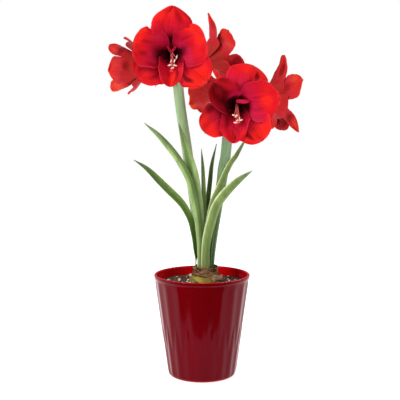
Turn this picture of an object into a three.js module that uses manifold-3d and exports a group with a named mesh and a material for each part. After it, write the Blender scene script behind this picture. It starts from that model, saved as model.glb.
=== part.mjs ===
// Amaryllis in a pot: one bulb with two flowering scapes in a fluted, filled pot.
// Millimetres, +Z up. The origin is the centre of the pot's flat base, and -Y is the front.

import * as THREE from 'three';
import { mergeVertices } from 'three/addons/utils/BufferGeometryUtils.js';
import Module from 'manifold-3d';

const wasm = await Module();
wasm.setup();

// ---------------------------------------------------------------- driving dimensions

const CLEARANCE = 0.3; // gap between neighbouring pieces
const SEED = 20; // starts the one random sequence

// The wall's radius grows by taper per millimetre of height. The flutes are two bands of ridges
// that meet at crossHeight; upperTurn and lowerTurn are their angles from the front, in degrees.
const POT = {
  height: 182, rimRadius: 85, footRadius: 59.8, taper: 0.136, wall: 2.4, floor: 4, footRound: 7,
  lipHeight: 5.5, lipBelow: 174, lipRound: 1.2, lipWidth: 4,
  flutes: 20, fluteDepth: 0.7, fluteFadeBelow: 8, fluteLeftAtLip: 0.4,
  crossHeight: 76, crossBlend: 12, upperTurn: 6, lowerTurn: 15, sides: 80,
};

const SOIL = {
  edgeHeight: 166, edgeDrop: 2, moundHeight: 171, moundReach: 42, grain: 1.8, sides: 28,
  ringRadii: [71, 61, 50, 38, 23],
};

// outline: [share of the radius, height above the base] of the fleshy bulb below its neck.
// tunics: [radius, height] of the dry layers round the neck, which waves in and out.
const BULB = {
  centre: [6.5, 0], radius: 38, baseHeight: 100,
  outline: [[0.4, 0], [0.78, 11], [0.97, 26], [1, 40], [0.97, 55], [0.86, 69], [0.7, 76]],
  neckRadius: 21.6, neckHeight: 196, collarHeight: 181,
  tunics: [[20.4, 184], [21.6, 187], [20.6, 191], [21.4, 194], [20.6, 196]],
  tunicWave: 0.9, tunicWaves: 5, edgeWave: 1.4, edgeWaves: 4,
  craterRadius: 19.2, craterFloor: 168, sides: 22,
};
const ROOTS = { count: 5, radius: 2.2, start: 7, reach: 30, drop: 52, sides: 5, steps: 3 };

const SCAPE = {
  footHeight: BULB.craterFloor + CLEARANCE, footRadius: 7, radius: 8.9, sides: 12, steps: 9,
};
const PEDICEL = {
  radius: 3.3, ovaryRadius: 5.3, ovaryFrom: [0.6, 0.84], ovaryTo: [0.88, 1], neckIn: 0.4,
  sides: 8, steps: 6, spread: 4.2, sunk: 4, rise: 26, lead: 26,
};
const BRACT = {
  length: 66, width: 15, thickness: 0.8, below: 6, reachShare: 0.55, arch: 0.36, droop: 0.25,
  tipHalfWidth: 0.6, rows: 6, columns: 4,
};

const LEAF = {
  thickness: 1.3, edgeThickness: 0.8, rows: 11, columns: 4, tipHalfWidth: 0.45, tipPower: 3.4,
  swellOver: [0.1, 0.5], twistOver: [0.1, 0.6], flatterAtTip: 0.7,
};

// The leaves' midlines run from the neck to the tip. faces is the compass angle that the outer
// side of the leaf's foot looks to, 0 along +X and 90 along +Y; tip is the share that narrows.
const LEAVES = [
  { width: 15, foot: 8.6, faces: 194, channel: 0.12, twist: -59, twistOver: [0.08, 0.24], tip: 0.5,
    midline: [[-11, 0, 169], [-11.4, -1, 196], [-11.2, -4, 215], [-13, -6, 240], [-15.6, -8.5, 258],
      [-20, -11.5, 279], [-27.6, -16, 297], [-38.6, -21.5, 314], [-64.4, -30, 341], [-94, -40, 372],
      [-116, -46, 388]] },
  { width: 14.5, foot: 7.6, faces: 250, channel: 0.16, twist: 0, tip: 0.5,
    midline: [[-4.4, -11, 169], [-4.6, -12.6, 200], [-5, -16.5, 245], [-7.6, -19.5, 282],
      [-12.4, -21.5, 312], [-22, -22, 350], [-41, -19, 386], [-72, -4, 424], [-101, 10, 449]] },
  { width: 19, foot: 9.6, faces: 264, channel: 0.12, twist: 0, tip: 0.55,
    midline: [[-1.6, -6.6, 169], [-1.8, -7.4, 200], [-3, -9.6, 245], [-5, -12, 285],
      [-8.6, -13.4, 316], [-14, -14, 354], [-22, -15, 386], [-31, -16.5, 419], [-40, -18, 449]] },
  { width: 8, foot: 6.2, faces: 96, channel: 0.16, twist: 0, tip: 0.5,
    midline: [[0.2, 14.4, 169], [0.8, 14.8, 200], [3, 16.5, 245], [3.6, 20, 300],
      [2, 25, 362], [-1, 27, 403]] },
  { width: 8.4, foot: 6.2, faces: 90, channel: 0.16, twist: 0, tip: 0.5,
    midline: [[7.6, 15.9, 169], [7.4, 16.6, 200], [6.4, 19.5, 245], [8.6, 24, 292],
      [14, 30, 340], [18, 34.5, 376], [26, 38, 411]] },
  { width: 7.4, foot: 6.2, faces: 84, channel: 0.16, twist: 40, tip: 0.5,
    midline: [[14.8, 14.2, 169], [15.4, 14.6, 200], [18, 18, 245], [22.5, 24, 292],
      [28, 26.5, 338], [32, 28, 374], [39, 30, 408]] },
  { width: 17, foot: 12.4, faces: 270, channel: 0.16, twist: 12, tip: 0.45,
    midline: [[4.2, -15.6, 169], [4.6, -16.6, 200], [6.4, -18.5, 228], [9.4, -20, 250],
      [16, -24, 278], [27, -30, 310], [45, -38, 335], [64, -46, 354], [85, -54, 370]] },
  { width: 10.4, foot: 9, faces: 282, channel: 0.16, twist: -12, tip: 0.5,
    midline: [[10.2, -6.6, 169], [9.6, -7.4, 200], [9, -10, 235], [12, -13, 277],
      [20, -16.5, 315], [33, -16.5, 345], [48, -11, 377], [60, -3, 393], [72, 6, 413],
      [81, 14, 426]] },
];

// Midlines of the two scapes, and the compass angles of the two bracts under each umbel.
const SCAPES = {
  left: {
    midline: [[0, 4, SCAPE.footHeight], [-0.6, 4.2, 203], [-13, 6, 305], [-26, 8, 400],
      [-37, 9, 472], [-42.5, 9, 520]],
    bracts: [212, 88],
  },
  right: {
    midline: [[15, 4, SCAPE.footHeight], [14.6, 4, 203], [20, 4, 255], [29, 5, 314],
      [39.5, 5, 376], [46, 5, 440]],
    bracts: [206, 72],
  },
};

// A bloom's own frame has +Z out of its mouth and +Y up, and starts at the foot of its tube.
// wrap is the half angle that a tepal takes of the throat, which it leaves over wrapOver.
const BLOOM = {
  plug: [[0, 0], [4.6, 0], [5.9, 8], [6.3, 13], [5.6, 18], [0, 18]], plugSides: 8,
  tubeStart: [4.2, 6], tubeControl: [14, 37], wrap: 54, wrapOver: [0.45, 0.72],
  tipHalfWidth: 0.9, curlLimit: 1.55, gatherOver: [0.3, 0.5],
  thickness: 0.9, layerAtBase: 1, layerAtFlare: 2.4, layerOver: [0.25, 0.65],
  foldOver: [0.3, 0.7], foldPower: 1.5,
  ruffle: 2.4, ruffleWaves: 2.6, ruffleOver: [0.35, 0.8], ruffleShift: 1.7,
  columns: 4, crowding: 1.35,
};
const STAMENS = {
  count: 6, discHeight: 18 + CLEARANCE, discRadius: 2.6, discThickness: 1.2, discSides: 6,
  filamentRadius: 0.8, taper: 0.25, start: 1.6, straight: 30, reach: 60, shortest: 0.86,
  droop: 24, lift: 6, spread: 8, styleExtra: 14, sides: 3, steps: 3,
  antherLength: 7, antherRadius: 1.4,
};

// A tepal is [angle round the mouth, reach from the axis, height of its tip, half width, shape];
// even places are the outer whorl and odd ones the inner. In its shape, left and right are how
// far those margins fold forward, curl how far the right one rolls back, sway how far the tip
// bends to the left, blunt how pointed its end is and widest the share of its widest place.
const PLAIN_TEPAL = { left: 0, right: 0, curl: 0, sway: 0, blunt: 0.6, widest: 0.74 };

// gather is how far a bloom's tepals lie on one common trumpet, and flare the share of the reach
// and height that draws it. strands is how long and how far sunk the stamens are, and rows how
// many steps a tepal takes along it.
const BLOOMS = [
  { name: 'a1', scape: 'left', base: [-50, -38, 565], axis: [0, -0.996, 0.085], scale: 1,
    gather: 0.9, flare: [0.4, 1.07], strands: 1, rows: 6,
    tepals: [
      [88, 71, 64, 35, { left: -2, right: -3, blunt: 0.62, widest: 0.68 }],
      [174, 63, 66, 34, { left: 4, right: -5, blunt: 0.3, widest: 0.68 }],
      [221, 73, 60, 33, { left: -3, right: -1, blunt: 0.58 }],
      [269, 60, 68, 22, { left: 6, right: 6, blunt: 0.45, widest: 0.6 }],
      [320, 78, 61, 33, { left: -4, right: 6, blunt: 0.5 }],
      [14, 58, 66, 37, { left: -6, right: -3, blunt: 0.3, widest: 0.68 }],
    ] },
  { name: 'a2', scape: 'left', base: [-74, 18, 549], axis: [-0.93, 0.36, -0.04], scale: 1,
    gather: 0, flare: [0.95, 0.78], strands: 0.7, rows: 5,
    tepals: [
      [118, 62, 82, 11, { blunt: 0.9 }], [180, 44, 76, 25, {}], [244, 46, 70, 24, {}],
      [290, 43, 88, 24, { blunt: 0.5 }], [352, 42, 80, 26, { blunt: 0.9 }], [66, 45, 88, 19, {}],
    ] },
  { name: 'a3', scape: 'left', base: [-6, 16, 550], axis: [0.74, 0.6, 0.26], scale: 0.95,
    gather: 0, flare: [0.4, 1.07], strands: 0.7, rows: 5,
    tepals: [
      [86, 86, 60, 12, { blunt: 0.8, sway: -8 }], [117, 56, 62, 25, { blunt: 0.45 }],
      [240, 58, 64, 26, { curl: 14 }], [210, 58, 64, 22, {}], [306, 54, 66, 26, {}], [20, 50, 64, 24, {}],
    ] },
  { name: 'b1', scape: 'right', base: [59, -34, 483], axis: [-0.03, -0.999, 0], scale: 1,
    gather: 0.9, flare: [0.4, 1.07], strands: 1, rows: 6,
    tepals: [
      [67, 68, 63, 35, { right: -6, blunt: 0.42 }],
      [137, 53, 74, 30, { left: 12, right: -2, blunt: 0.4, widest: 0.66 }],
      [218, 71, 60, 30, { left: -6, right: 3, blunt: 0.5 }],
      [264, 64, 66, 24, { left: 7, right: 5, blunt: 0.45, widest: 0.62 }],
      [306, 74, 62, 33, { right: 2, blunt: 0.5 }],
      [8, 72, 64, 36, { left: -3, right: -2, blunt: 0.62, widest: 0.66 }],
    ] },
  { name: 'b2', scape: 'right', base: [86, 18, 494], axis: [0.88, 0.46, 0.03], scale: 0.98,
    gather: 0, flare: [0.4, 1.07], strands: 0.7, rows: 5,
    tepals: [
      [103, 76, 62, 20, { blunt: 0.35, widest: 0.55 }], [158, 78, 62, 23, { blunt: 0.8 }],
      [226, 88, 62, 12, { blunt: 0.8 }], [274, 62, 64, 31, { blunt: 0.3, widest: 0.7 }],
      [300, 70, 64, 13, { blunt: 0.7 }], [30, 34, 64, 22, {}],
    ] },
  { name: 'b3', scape: 'right', base: [37, 18, 497], axis: [-0.62, 0.78, 0.05], scale: 0.75,
    gather: 0, flare: [0.4, 1.07], strands: 0.6, rows: 5,
    tepals: [
      [90, 50, 68, 28, {}], [150, 54, 66, 28, {}], [210, 60, 66, 30, {}],
      [276, 44, 74, 22, {}], [330, 50, 72, 26, {}], [30, 48, 72, 26, {}],
    ] },
];

const FINISHES = {
  pot: [0x8f0a20, 0.15], soil: [0x3a2c24, 0.95], bulb: [0x9a7350, 0.7], scape: [0x7f9a5a, 0.45],
  leaf: [0x5c8230, 0.4], bract: [0xb08d66, 0.8], petals: [0xd81a28, 0.5], stamens: [0xe8c6b0, 0.6],
};

// ---------------------------------------------------------------- small tools

const UP = new THREE.Vector3(0, 0, 1);
const vector = ([x, y, z]) => new THREE.Vector3(x, y, z);
const degrees = (angle) => THREE.MathUtils.degToRad(angle);
const smooth = THREE.MathUtils.smoothstep;
const lerp = THREE.MathUtils.lerp;
const tiny = 1e-4;

/** Repeatable random numbers from 0 to 1. */
function randomFrom(seed) {
  let state = seed;
  return () => {
    state = (state * 1664525 + 1013904223) % 4294967296;
    return state / 4294967296;
  };
}
const random = randomFrom(SEED);

/** Unit vector that points level to a compass angle. */
const compassVector = (angle) => new THREE.Vector3(Math.cos(degrees(angle)), Math.sin(degrees(angle)), 0);

/** Smooth curve through points. */
const curveThrough = (points) => new THREE.CatmullRomCurve3(points.map(vector), false, 'catmullrom', 0.5);

/** Geometry from points and triangles. */
function meshOf(points, triangles) {
  const geometry = new THREE.BufferGeometry();
  const numbers = points.flatMap((point) => point.toArray());
  geometry.setAttribute('position', new THREE.Float32BufferAttribute(numbers, 3));
  geometry.setIndex(triangles.flat());
  return geometry;
}

/** Signed volume, below zero where the faces point inwards. */
function volumeOf(geometry) {
  const position = geometry.getAttribute('position');
  const index = geometry.getIndex().array;
  const corner = [0, 1, 2].map(() => new THREE.Vector3());
  let volume = 0;
  for (let i = 0; i < index.length; i += 3) {
    corner.forEach((point, k) => point.fromBufferAttribute(position, index[i + k]));
    volume += corner[0].dot(corner[1].cross(corner[2])) / 6;
  }
  return volume;
}

/** One closed body: shared corners merged, empty triangles dropped and faces turned outwards. */
function closed(geometry) {
  geometry.deleteAttribute('normal');
  geometry.deleteAttribute('uv');
  const welded = mergeVertices(geometry, tiny);
  const index = Array.from(welded.getIndex().array);
  const kept = [];
  for (let i = 0; i < index.length; i += 3) {
    const [a, b, c] = index.slice(i, i + 3);
    if (a !== b && b !== c && c !== a) kept.push(a, b, c);
  }
  welded.setIndex(kept);
  if (volumeOf(welded) < 0) welded.setIndex(kept.reverse());
  return welded;
}

/** A body turned about the Z axis from [radius, height] corners, each point then moved by bend. */
function turned(profile, sides, bend = (radius, height) => [radius, height]) {
  const outline = profile.map(([radius, height]) => new THREE.Vector2(radius, height));
  const geometry = new THREE.LatheGeometry(outline, sides).rotateX(Math.PI / 2);
  const position = geometry.getAttribute('position');
  for (let i = 0; i < position.count; i += 1) {
    const radius = Math.hypot(position.getX(i), position.getY(i));
    const angle = Math.atan2(position.getY(i), position.getX(i));
    const [moved, height] = bend(radius, position.getZ(i), angle);
    const out = radius > tiny ? moved : 0;
    position.setXYZ(i, out * Math.cos(angle), out * Math.sin(angle), height);
  }
  return closed(geometry);
}

/** Solid between two sheets of points, both split along the same diagonals. */
function sheetSolid(front, back) {
  const rows = front.length;
  const columns = front[0].length;
  const behind = rows * columns;
  const corner = (row, column) => row * columns + column;
  const triangles = [];
  for (let i = 0; i + 1 < rows; i += 1) {
    for (let j = 0; j + 1 < columns; j += 1) {
      const [a, b] = [corner(i, j), corner(i, j + 1)];
      const [c, d] = [corner(i + 1, j + 1), corner(i + 1, j)];
      triangles.push([a, b, c], [a, c, d]);
      triangles.push([c + behind, b + behind, a + behind], [d + behind, c + behind, a + behind]);
    }
  }
  const rim = [];
  for (let j = 0; j + 1 < columns; j += 1) rim.push(corner(0, j));
  for (let i = 0; i + 1 < rows; i += 1) rim.push(corner(i, columns - 1));
  for (let j = columns - 1; j > 0; j -= 1) rim.push(corner(rows - 1, j));
  for (let i = rows - 1; i > 0; i -= 1) rim.push(corner(i, 0));
  rim.forEach((here, k) => {
    const next = rim[(k + 1) % rim.length];
    triangles.push([next, here, here + behind], [next, here + behind, next + behind]);
  });
  return closed(meshOf([...front.flat(), ...back.flat()], triangles));
}

/** Blade from a middle surface point(u, v), u along it and v from -1 to 1 across it. */
function blade(point, thickness, rows, columns) {
  const step = 1e-3;
  const front = [];
  const back = [];
  for (let i = 0; i <= rows; i += 1) {
    front.push([]);
    back.push([]);
    for (let j = 0; j <= columns; j += 1) {
      const [u, v] = [i / rows, (2 * j) / columns - 1];
      const along = point(Math.min(u + step, 1), v).sub(point(Math.max(u - step, 0), v));
      const across = point(u, v + step).sub(point(u, v - step));
      const offset = across.cross(along).normalize().multiplyScalar(thickness(u, v) / 2);
      front[i].push(point(u, v).add(offset));
      back[i].push(point(u, v).sub(offset));
    }
  }
  return sheetSolid(front, back);
}

/** Evenly spaced points on a curve, each with its direction and a side vector carried along. */
function stations(curve, count, side) {
  let carried = side;
  return Array.from({ length: count + 1 }, (_, i) => {
    const direction = curve.getTangentAt(i / count).normalize();
    carried = carried.clone().addScaledVector(direction, -carried.dot(direction)).normalize();
    return { point: curve.getPointAt(i / count), direction, side: carried };
  });
}

/** Round solid along a curve, with radius(share of its length). */
function tube(curve, radius, sides, steps) {
  const upright = Math.abs(curve.getTangentAt(0).z) > 0.9;
  const side = upright ? new THREE.Vector3(1, 0, 0) : UP;
  const points = [];
  stations(curve, steps, side).forEach(({ point, direction, side: first }, i) => {
    const second = direction.clone().cross(first);
    for (let k = 0; k < sides; k += 1) {
      const angle = (2 * Math.PI * k) / sides;
      points.push(point.clone().addScaledVector(first, radius(i / steps) * Math.cos(angle))
        .addScaledVector(second, radius(i / steps) * Math.sin(angle)));
    }
  });
  const triangles = [];
  for (let i = 0; i < steps; i += 1) {
    for (let k = 0; k < sides; k += 1) {
      const [a, b] = [i * sides + k, i * sides + ((k + 1) % sides)];
      triangles.push([a, b, b + sides], [a, b + sides, a + sides]);
    }
  }
  const last = steps * sides;
  for (let k = 1; k + 1 < sides; k += 1) triangles.push([0, k + 1, k], [last, last + k, last + k + 1]);
  return closed(meshOf(points, triangles));
}

/** manifold-3d solid of a closed geometry. */
function solid(geometry) {
  return new wasm.Manifold(new wasm.Mesh({
    numProp: 3,
    vertProperties: new Float32Array(geometry.getAttribute('position').array),
    triVerts: new Uint32Array(geometry.getIndex().array),
  }));
}

/** Geometry of a manifold-3d solid. */
function geometryOf(body) {
  const { vertProperties, triVerts } = body.getMesh();
  const geometry = new THREE.BufferGeometry();
  geometry.setAttribute('position', new THREE.BufferAttribute(vertProperties, 3));
  geometry.setIndex(new THREE.BufferAttribute(triVerts, 1));
  return geometry;
}

/** One body out of several that meet. */
const joined = (pieces) => geometryOf(pieces.map(solid).reduce((whole, piece) => whole.add(piece)));

/** One body out of several that meet, with the small hollows that they close off filled. */
const fused = (pieces) => {
  const whole = pieces.map(solid).reduce((sum, piece) => sum.add(piece));
  return geometryOf(wasm.Manifold.compose(whole.decompose().filter((shell) => shell.volume() > 0)));
};

/** A body with others cut out of it. */
const cut = (body, tools) => geometryOf(tools.map(solid)
  .reduce((rest, tool) => rest.subtract(tool), solid(body)));

// ---------------------------------------------------------------- pot

const potRadius = (height) => POT.footRadius + POT.taper * height;

/** Relief of the flutes: two bands of ridges, the lower one set off from the upper one. */
function fluteRelief(height, angle) {
  const fromFront = THREE.MathUtils.radToDeg(angle) + 90;
  const ridge = (turn) => Math.cos(degrees((fromFront - turn) * POT.flutes));
  const upper = smooth(height, POT.crossHeight - POT.crossBlend, POT.crossHeight + POT.crossBlend);
  const fade = smooth(height, 0, POT.footRound * 2)
    * (1 - smooth(height, POT.lipBelow - POT.fluteFadeBelow, POT.lipBelow) * (1 - POT.fluteLeftAtLip));
  return POT.fluteDepth * fade * lerp(ridge(POT.lowerTurn), ridge(POT.upperTurn), upper);
}

/** Thin tapered pot with a flat base, a fluted wall and a plain rolled rim. */
function pot() {
  const { height, rimRadius, wall, floor, lipHeight, lipBelow, lipRound, lipWidth } = POT;
  const { footRound, crossHeight, crossBlend } = POT;
  const lipBottom = height - lipHeight;
  const crossing = [crossHeight - crossBlend, crossHeight, crossHeight + crossBlend];
  const wallHeights = [footRound * 1.6, ...crossing, lipBelow];
  const profile = [
    [0, 0], [potRadius(0) - footRound, 0], [potRadius(0) - footRound * 0.3, footRound * 0.35],
    ...wallHeights.map((z) => [potRadius(z), z]),
    [rimRadius, lipBottom], [rimRadius, height - lipRound], [rimRadius - lipRound, height],
    [rimRadius - lipWidth, height], [potRadius(lipBelow) - wall, lipBelow],
    [potRadius(floor) - wall, floor], [0, floor],
  ];
  const fluted = (radius, z, angle) => {
    const outside = radius > potRadius(z) - wall / 2 && z > footRound && z < lipBottom;
    return [outside ? radius + fluteRelief(z, angle) : radius, z];
  };
  return turned(profile, POT.sides, fluted);
}

// ---------------------------------------------------------------- bulb and soil

/** A geometry turned about Z, moved to stand on the bulb's own axis. */
const onBulbAxis = (geometry) => geometry.translate(BULB.centre[0], BULB.centre[1], 0);

/** Outline of the bulb below its neck, as [radius, height], grown all round by grow. */
function bulbOutline(grow) {
  const { radius, baseHeight, outline, neckRadius, collarHeight } = BULB;
  const corners = outline.map(([share, above]) => [share * radius + grow, baseHeight + above]);
  corners[0][1] -= grow;
  return [[0, baseHeight - grow], ...corners, [neckRadius + grow, collarHeight]];
}

/** Roots under the bulb: tapered, spreading and sinking, grown all round by grow. */
function roots(grow) {
  const { count, radius, start, reach, drop, sides, steps } = ROOTS;
  return Array.from({ length: count }, (_, k) => {
    const outward = compassVector((360 * (k + 0.3)) / count);
    const at = (out, above) => outward.clone().multiplyScalar(out)
      .add(new THREE.Vector3(...BULB.centre, BULB.baseHeight + above));
    const path = new THREE.QuadraticBezierCurve3(at(start, 4), at(reach * 0.7, -8), at(reach, -drop));
    return tube(path, (share) => radius * (1 - 0.5 * share) + grow, sides, steps);
  });
}

/** Bulb with a crater in its neck, wavy dry tunics round it and roots below. */
function bulb() {
  const { collarHeight, neckHeight, tunics, tunicWave, tunicWaves, edgeWave, edgeWaves } = BULB;
  const { craterRadius, craterFloor } = BULB;
  const crater = [[craterRadius, neckHeight - 1], [craterRadius, craterFloor], [0, craterFloor]];
  const profile = [...bulbOutline(0), ...tunics, ...crater];
  const wavy = (radius, z, angle) => {
    const edge = smooth(z, neckHeight - 3, neckHeight);
    const dry = radius > craterRadius ? smooth(z, collarHeight - 4, collarHeight + 4) * (1 - edge) : 0;
    const wave = tunicWave * Math.sin(tunicWaves * angle + 0.35 * z);
    return [radius + dry * wave, z + edge * edgeWave * Math.sin(edgeWaves * angle)];
  };
  return joined([onBulbAxis(turned(profile, BULB.sides, wavy)), ...roots(0)]);
}

/** Potting mix that fills the pot, mounded to the bulb, with coarse grains raised from its top. */
function soil() {
  const { edgeHeight, edgeDrop, moundHeight, moundReach, grain, sides, ringRadii } = SOIL;
  const bottom = POT.floor + CLEARANCE;
  const inside = (z) => potRadius(z) - POT.wall - 3 * CLEARANCE;
  const profile = [
    [0, bottom], [inside(bottom), bottom], [inside(edgeHeight), edgeHeight - edgeDrop],
    ...ringRadii.map((radius) => [radius, edgeHeight]), [0, edgeHeight],
  ];
  const grains = new Map();
  const grainAt = (radius, angle) => {
    const turn = (angle + 4 * Math.PI) % (2 * Math.PI);
    const key = `${radius.toFixed(1)} ${turn.toFixed(3)}`;
    if (!grains.has(key)) grains.set(key, lerp(-grain, grain, random()));
    return grains.get(key);
  };
  const mounded = (radius, z, angle) => {
    if (z < edgeHeight) return [radius, z];
    const x = radius * Math.cos(angle) - BULB.centre[0];
    const y = radius * Math.sin(angle) - BULB.centre[1];
    const away = smooth(Math.hypot(x, y), BULB.radius * 0.8, BULB.radius * 0.8 + moundReach);
    const roughness = radius > 1 ? grainAt(radius, angle) : 0;
    return [radius, lerp(moundHeight, edgeHeight, away) + roughness];
  };
  const above = [[BULB.neckRadius + CLEARANCE, BULB.neckHeight], [0, BULB.neckHeight]];
  const pit = onBulbAxis(turned([...bulbOutline(CLEARANCE), ...above], BULB.sides));
  return cut(turned(profile, sides, mounded), [pit, ...roots(CLEARANCE)]);
}

// ---------------------------------------------------------------- scapes, bracts and leaves

/** Curve from the top of a scape to the foot of a bloom, arriving along the bloom's axis. */
function pedicelCurve(top, bloom) {
  const { spread, sunk, rise, lead } = PEDICEL;
  const base = vector(bloom.base);
  const axis = vector(bloom.axis).normalize();
  const outward = base.clone().sub(top).setZ(0).normalize();
  const start = top.clone().addScaledVector(outward, spread).addScaledVector(UP, -sunk);
  return new THREE.CubicBezierCurve3(
    start, start.clone().addScaledVector(UP, rise),
    base.clone().addScaledVector(axis, -lead), base.clone().addScaledVector(axis, -CLEARANCE));
}

/** Pedicel radius: slim, then swollen at the ovary just below the bloom. */
function pedicelRadius(share) {
  const { radius, ovaryRadius, ovaryFrom, ovaryTo, neckIn } = PEDICEL;
  return lerp(radius, ovaryRadius, smooth(share, ...ovaryFrom) - smooth(share, ...ovaryTo) * neckIn);
}

/** Scape with the pedicels and ovaries of its blooms, in one body. */
function scape(name) {
  const { midline } = SCAPES[name];
  const radius = (share) => lerp(SCAPE.footRadius, SCAPE.radius, smooth(share, 0, 0.5));
  const stem = tube(curveThrough(midline), radius, SCAPE.sides, SCAPE.steps);
  const pedicels = BLOOMS.filter((bloom) => bloom.scape === name)
    .map((bloom) => pedicelCurve(vector(midline.at(-1)), bloom))
    .map((path) => tube(path, pedicelRadius, PEDICEL.sides, PEDICEL.steps));
  return joined([stem, ...pedicels]);
}

/** Dry spathe bract that leans out from the top of a scape towards a compass angle. */
function bract(name, compass) {
  const { length, width, thickness, below, reachShare, arch, droop } = BRACT;
  const stem = curveThrough(SCAPES[name].midline);
  const seat = stem.getPointAt(1 - below / stem.getLength());
  const foot = SCAPE.radius + thickness / 2 + CLEARANCE;
  const outward = compassVector(compass);
  const across = UP.clone().cross(outward);
  const point = (u, v) => {
    const reach = foot + length * reachShare * u ** 1.3;
    const rise = length * (arch * Math.sin(Math.PI * u * 0.8) - droop * u * u);
    const half = Math.max(width / 2 * Math.sin(Math.PI * lerp(0.28, 1, u)) ** 0.8, BRACT.tipHalfWidth);
    const wrap = (v * half) ** 2 / (2 * foot) * (1 - u);
    return seat.clone().addScaledVector(outward, reach - wrap)
      .addScaledVector(across, v * half).addScaledVector(UP, rise);
  };
  return blade(point, () => thickness, BRACT.rows, BRACT.columns);
}

/** Strap leaf: channelled, narrow at its foot and long-pointed at its tip. */
function leaf({ width, foot, faces, channel, twist, twistOver = LEAF.twistOver, tip, midline }) {
  const count = LEAF.rows * 4;
  const frames = stations(curveThrough(midline), count, compassVector(faces + 180));
  const point = (u, v) => {
    const place = Math.min(u, 1) * count;
    const low = Math.min(Math.floor(place), count - 1);
    const mix = (key) => frames[low][key].clone().lerp(frames[low + 1][key], place - low);
    const direction = mix('direction').normalize();
    const turn = degrees(twist * smooth(u, ...twistOver));
    const upper = mix('side').normalize().applyAxisAngle(direction, turn);
    const across = direction.clone().cross(upper);
    const swell = lerp(foot, width, smooth(u, ...LEAF.swellOver)) / 2;
    const nearTip = Math.max((u - 1 + tip) / tip, 0);
    const half = Math.max(swell * (1 - nearTip ** LEAF.tipPower), LEAF.tipHalfWidth);
    const depth = channel * 2 * half * lerp(1, LEAF.flatterAtTip, u);
    return mix('point').addScaledVector(across, v * half).addScaledVector(upper, depth * v * v);
  };
  const thickness = (u, v) => lerp(LEAF.thickness, LEAF.edgeThickness, Math.max(v * v, u ** 3));
  return blade(point, thickness, LEAF.rows, LEAF.columns);
}

// ---------------------------------------------------------------- blooms

/** A geometry turned and moved from a bloom's own frame to its place on the plant. */
function inBloom(geometry, bloom) {
  const axis = vector(bloom.axis).normalize();
  const right = axis.clone().negate().cross(UP).normalize();
  const top = axis.clone().cross(right);
  const frame = new THREE.Matrix4().makeBasis(right, top, axis)
    .scale(new THREE.Vector3().setScalar(bloom.scale)).setPosition(vector(bloom.base));
  return geometry.applyMatrix4(frame);
}

/** Half outline of a trumpet from the tube to a mouth, as a curve of [radius, height]. */
function trumpetCurve(reach, height, flare) {
  return new THREE.CubicBezierCurve(
    new THREE.Vector2(...BLOOM.tubeStart), new THREE.Vector2(...BLOOM.tubeControl),
    new THREE.Vector2(flare[0] * reach, flare[1] * height), new THREE.Vector2(reach, height));
}

/** Height of a bloom's common trumpet, as wide and high as its tepals on average, by radius. */
function commonTrumpet(bloom) {
  const mean = (place) => bloom.tepals.reduce((sum, tepal) => sum + tepal[place], 0) / bloom.tepals.length;
  const points = trumpetCurve(mean(1), mean(2), bloom.flare).getPoints(40);
  return (radius) => {
    const found = points.findIndex((point) => point.x > radius);
    const high = found < 0 ? points.length - 1 : Math.max(found, 1);
    const [low, top] = [points[high - 1], points[high]];
    return lerp(low.y, top.y, THREE.MathUtils.clamp((radius - low.x) / (top.x - low.x), 0, 1.5));
  };
}

/** Middle surface of a tepal, from the tube (u = 0) to its tip (u = 1). */
function tepalSurface([angle, reach, height, halfWidth, shape], bloom, inner, phase) {
  const { left, right, curl, sway, blunt, widest } = { ...PLAIN_TEPAL, ...shape };
  const profile = trumpetCurve(reach, height, bloom.flare);
  const common = commonTrumpet(bloom);
  const widestPower = Math.log(0.5) / Math.log(widest);
  const [cos, sin] = [Math.cos(degrees(angle)), Math.sin(degrees(angle))];
  return (along, v) => {
    const u = 1 - Math.max(1 - along, 0) ** BLOOM.crowding;
    const middle = profile.getPoint(u);
    const run = profile.getTangent(u);
    const full = Math.max(Math.sin(Math.PI * u ** widestPower), 0) ** blunt;
    const throat = middle.x * degrees(BLOOM.wrap) * (1 - smooth(u, ...BLOOM.wrapOver));
    const half = Math.max(halfWidth * full, throat, BLOOM.tipHalfWidth);
    const roundness = Math.max(half * run.y / middle.x, tiny);
    const turn = THREE.MathUtils.clamp(v * roundness, -BLOOM.curlLimit, BLOOM.curlLimit);
    const across = half * Math.sin(turn) / roundness + sway * u * u;
    const cup = half * (1 - Math.cos(turn)) / roundness;
    const layer = lerp(BLOOM.layerAtBase, BLOOM.layerAtFlare, smooth(u, ...BLOOM.layerOver));
    const crest = 2 * Math.PI * BLOOM.ruffleWaves * u + phase + (v > 0 ? BLOOM.ruffleShift : 0);
    const wave = BLOOM.ruffle * Math.abs(v) ** 3 * smooth(u, ...BLOOM.ruffleOver) * Math.sin(crest);
    const rolled = v < 0 ? curl * smooth(-v, 0.5, 1) : 0;
    const forward = (v > 0 ? left : right) * Math.abs(v) ** BLOOM.foldPower - rolled;
    const fold = forward * Math.min(full * 1.2, 1) * smooth(u, ...BLOOM.foldOver);
    const lift = (inner ? layer : -layer) + wave + fold;
    const radius = middle.x - run.y * cup;
    const own = middle.y + run.x * cup;
    const gathered = bloom.gather * smooth(u, ...BLOOM.gatherOver);
    const above = lerp(own, common(Math.hypot(radius, across)), gathered) + run.x * lift;
    const out = radius - run.y * lift;
    return new THREE.Vector3(out * cos - across * sin, out * sin + across * cos, above);
  };
}

/** Six tepals in two whorls on one tube. */
function petals(bloom) {
  const tepals = bloom.tepals.map((tepal, k) => {
    const surface = tepalSurface(tepal, bloom, k % 2 === 1, random() * 2 * Math.PI);
    return blade(surface, () => BLOOM.thickness, bloom.rows, BLOOM.columns);
  });
  return inBloom(fused([turned(BLOOM.plug, BLOOM.plugSides), ...tepals]), bloom);
}

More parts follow.
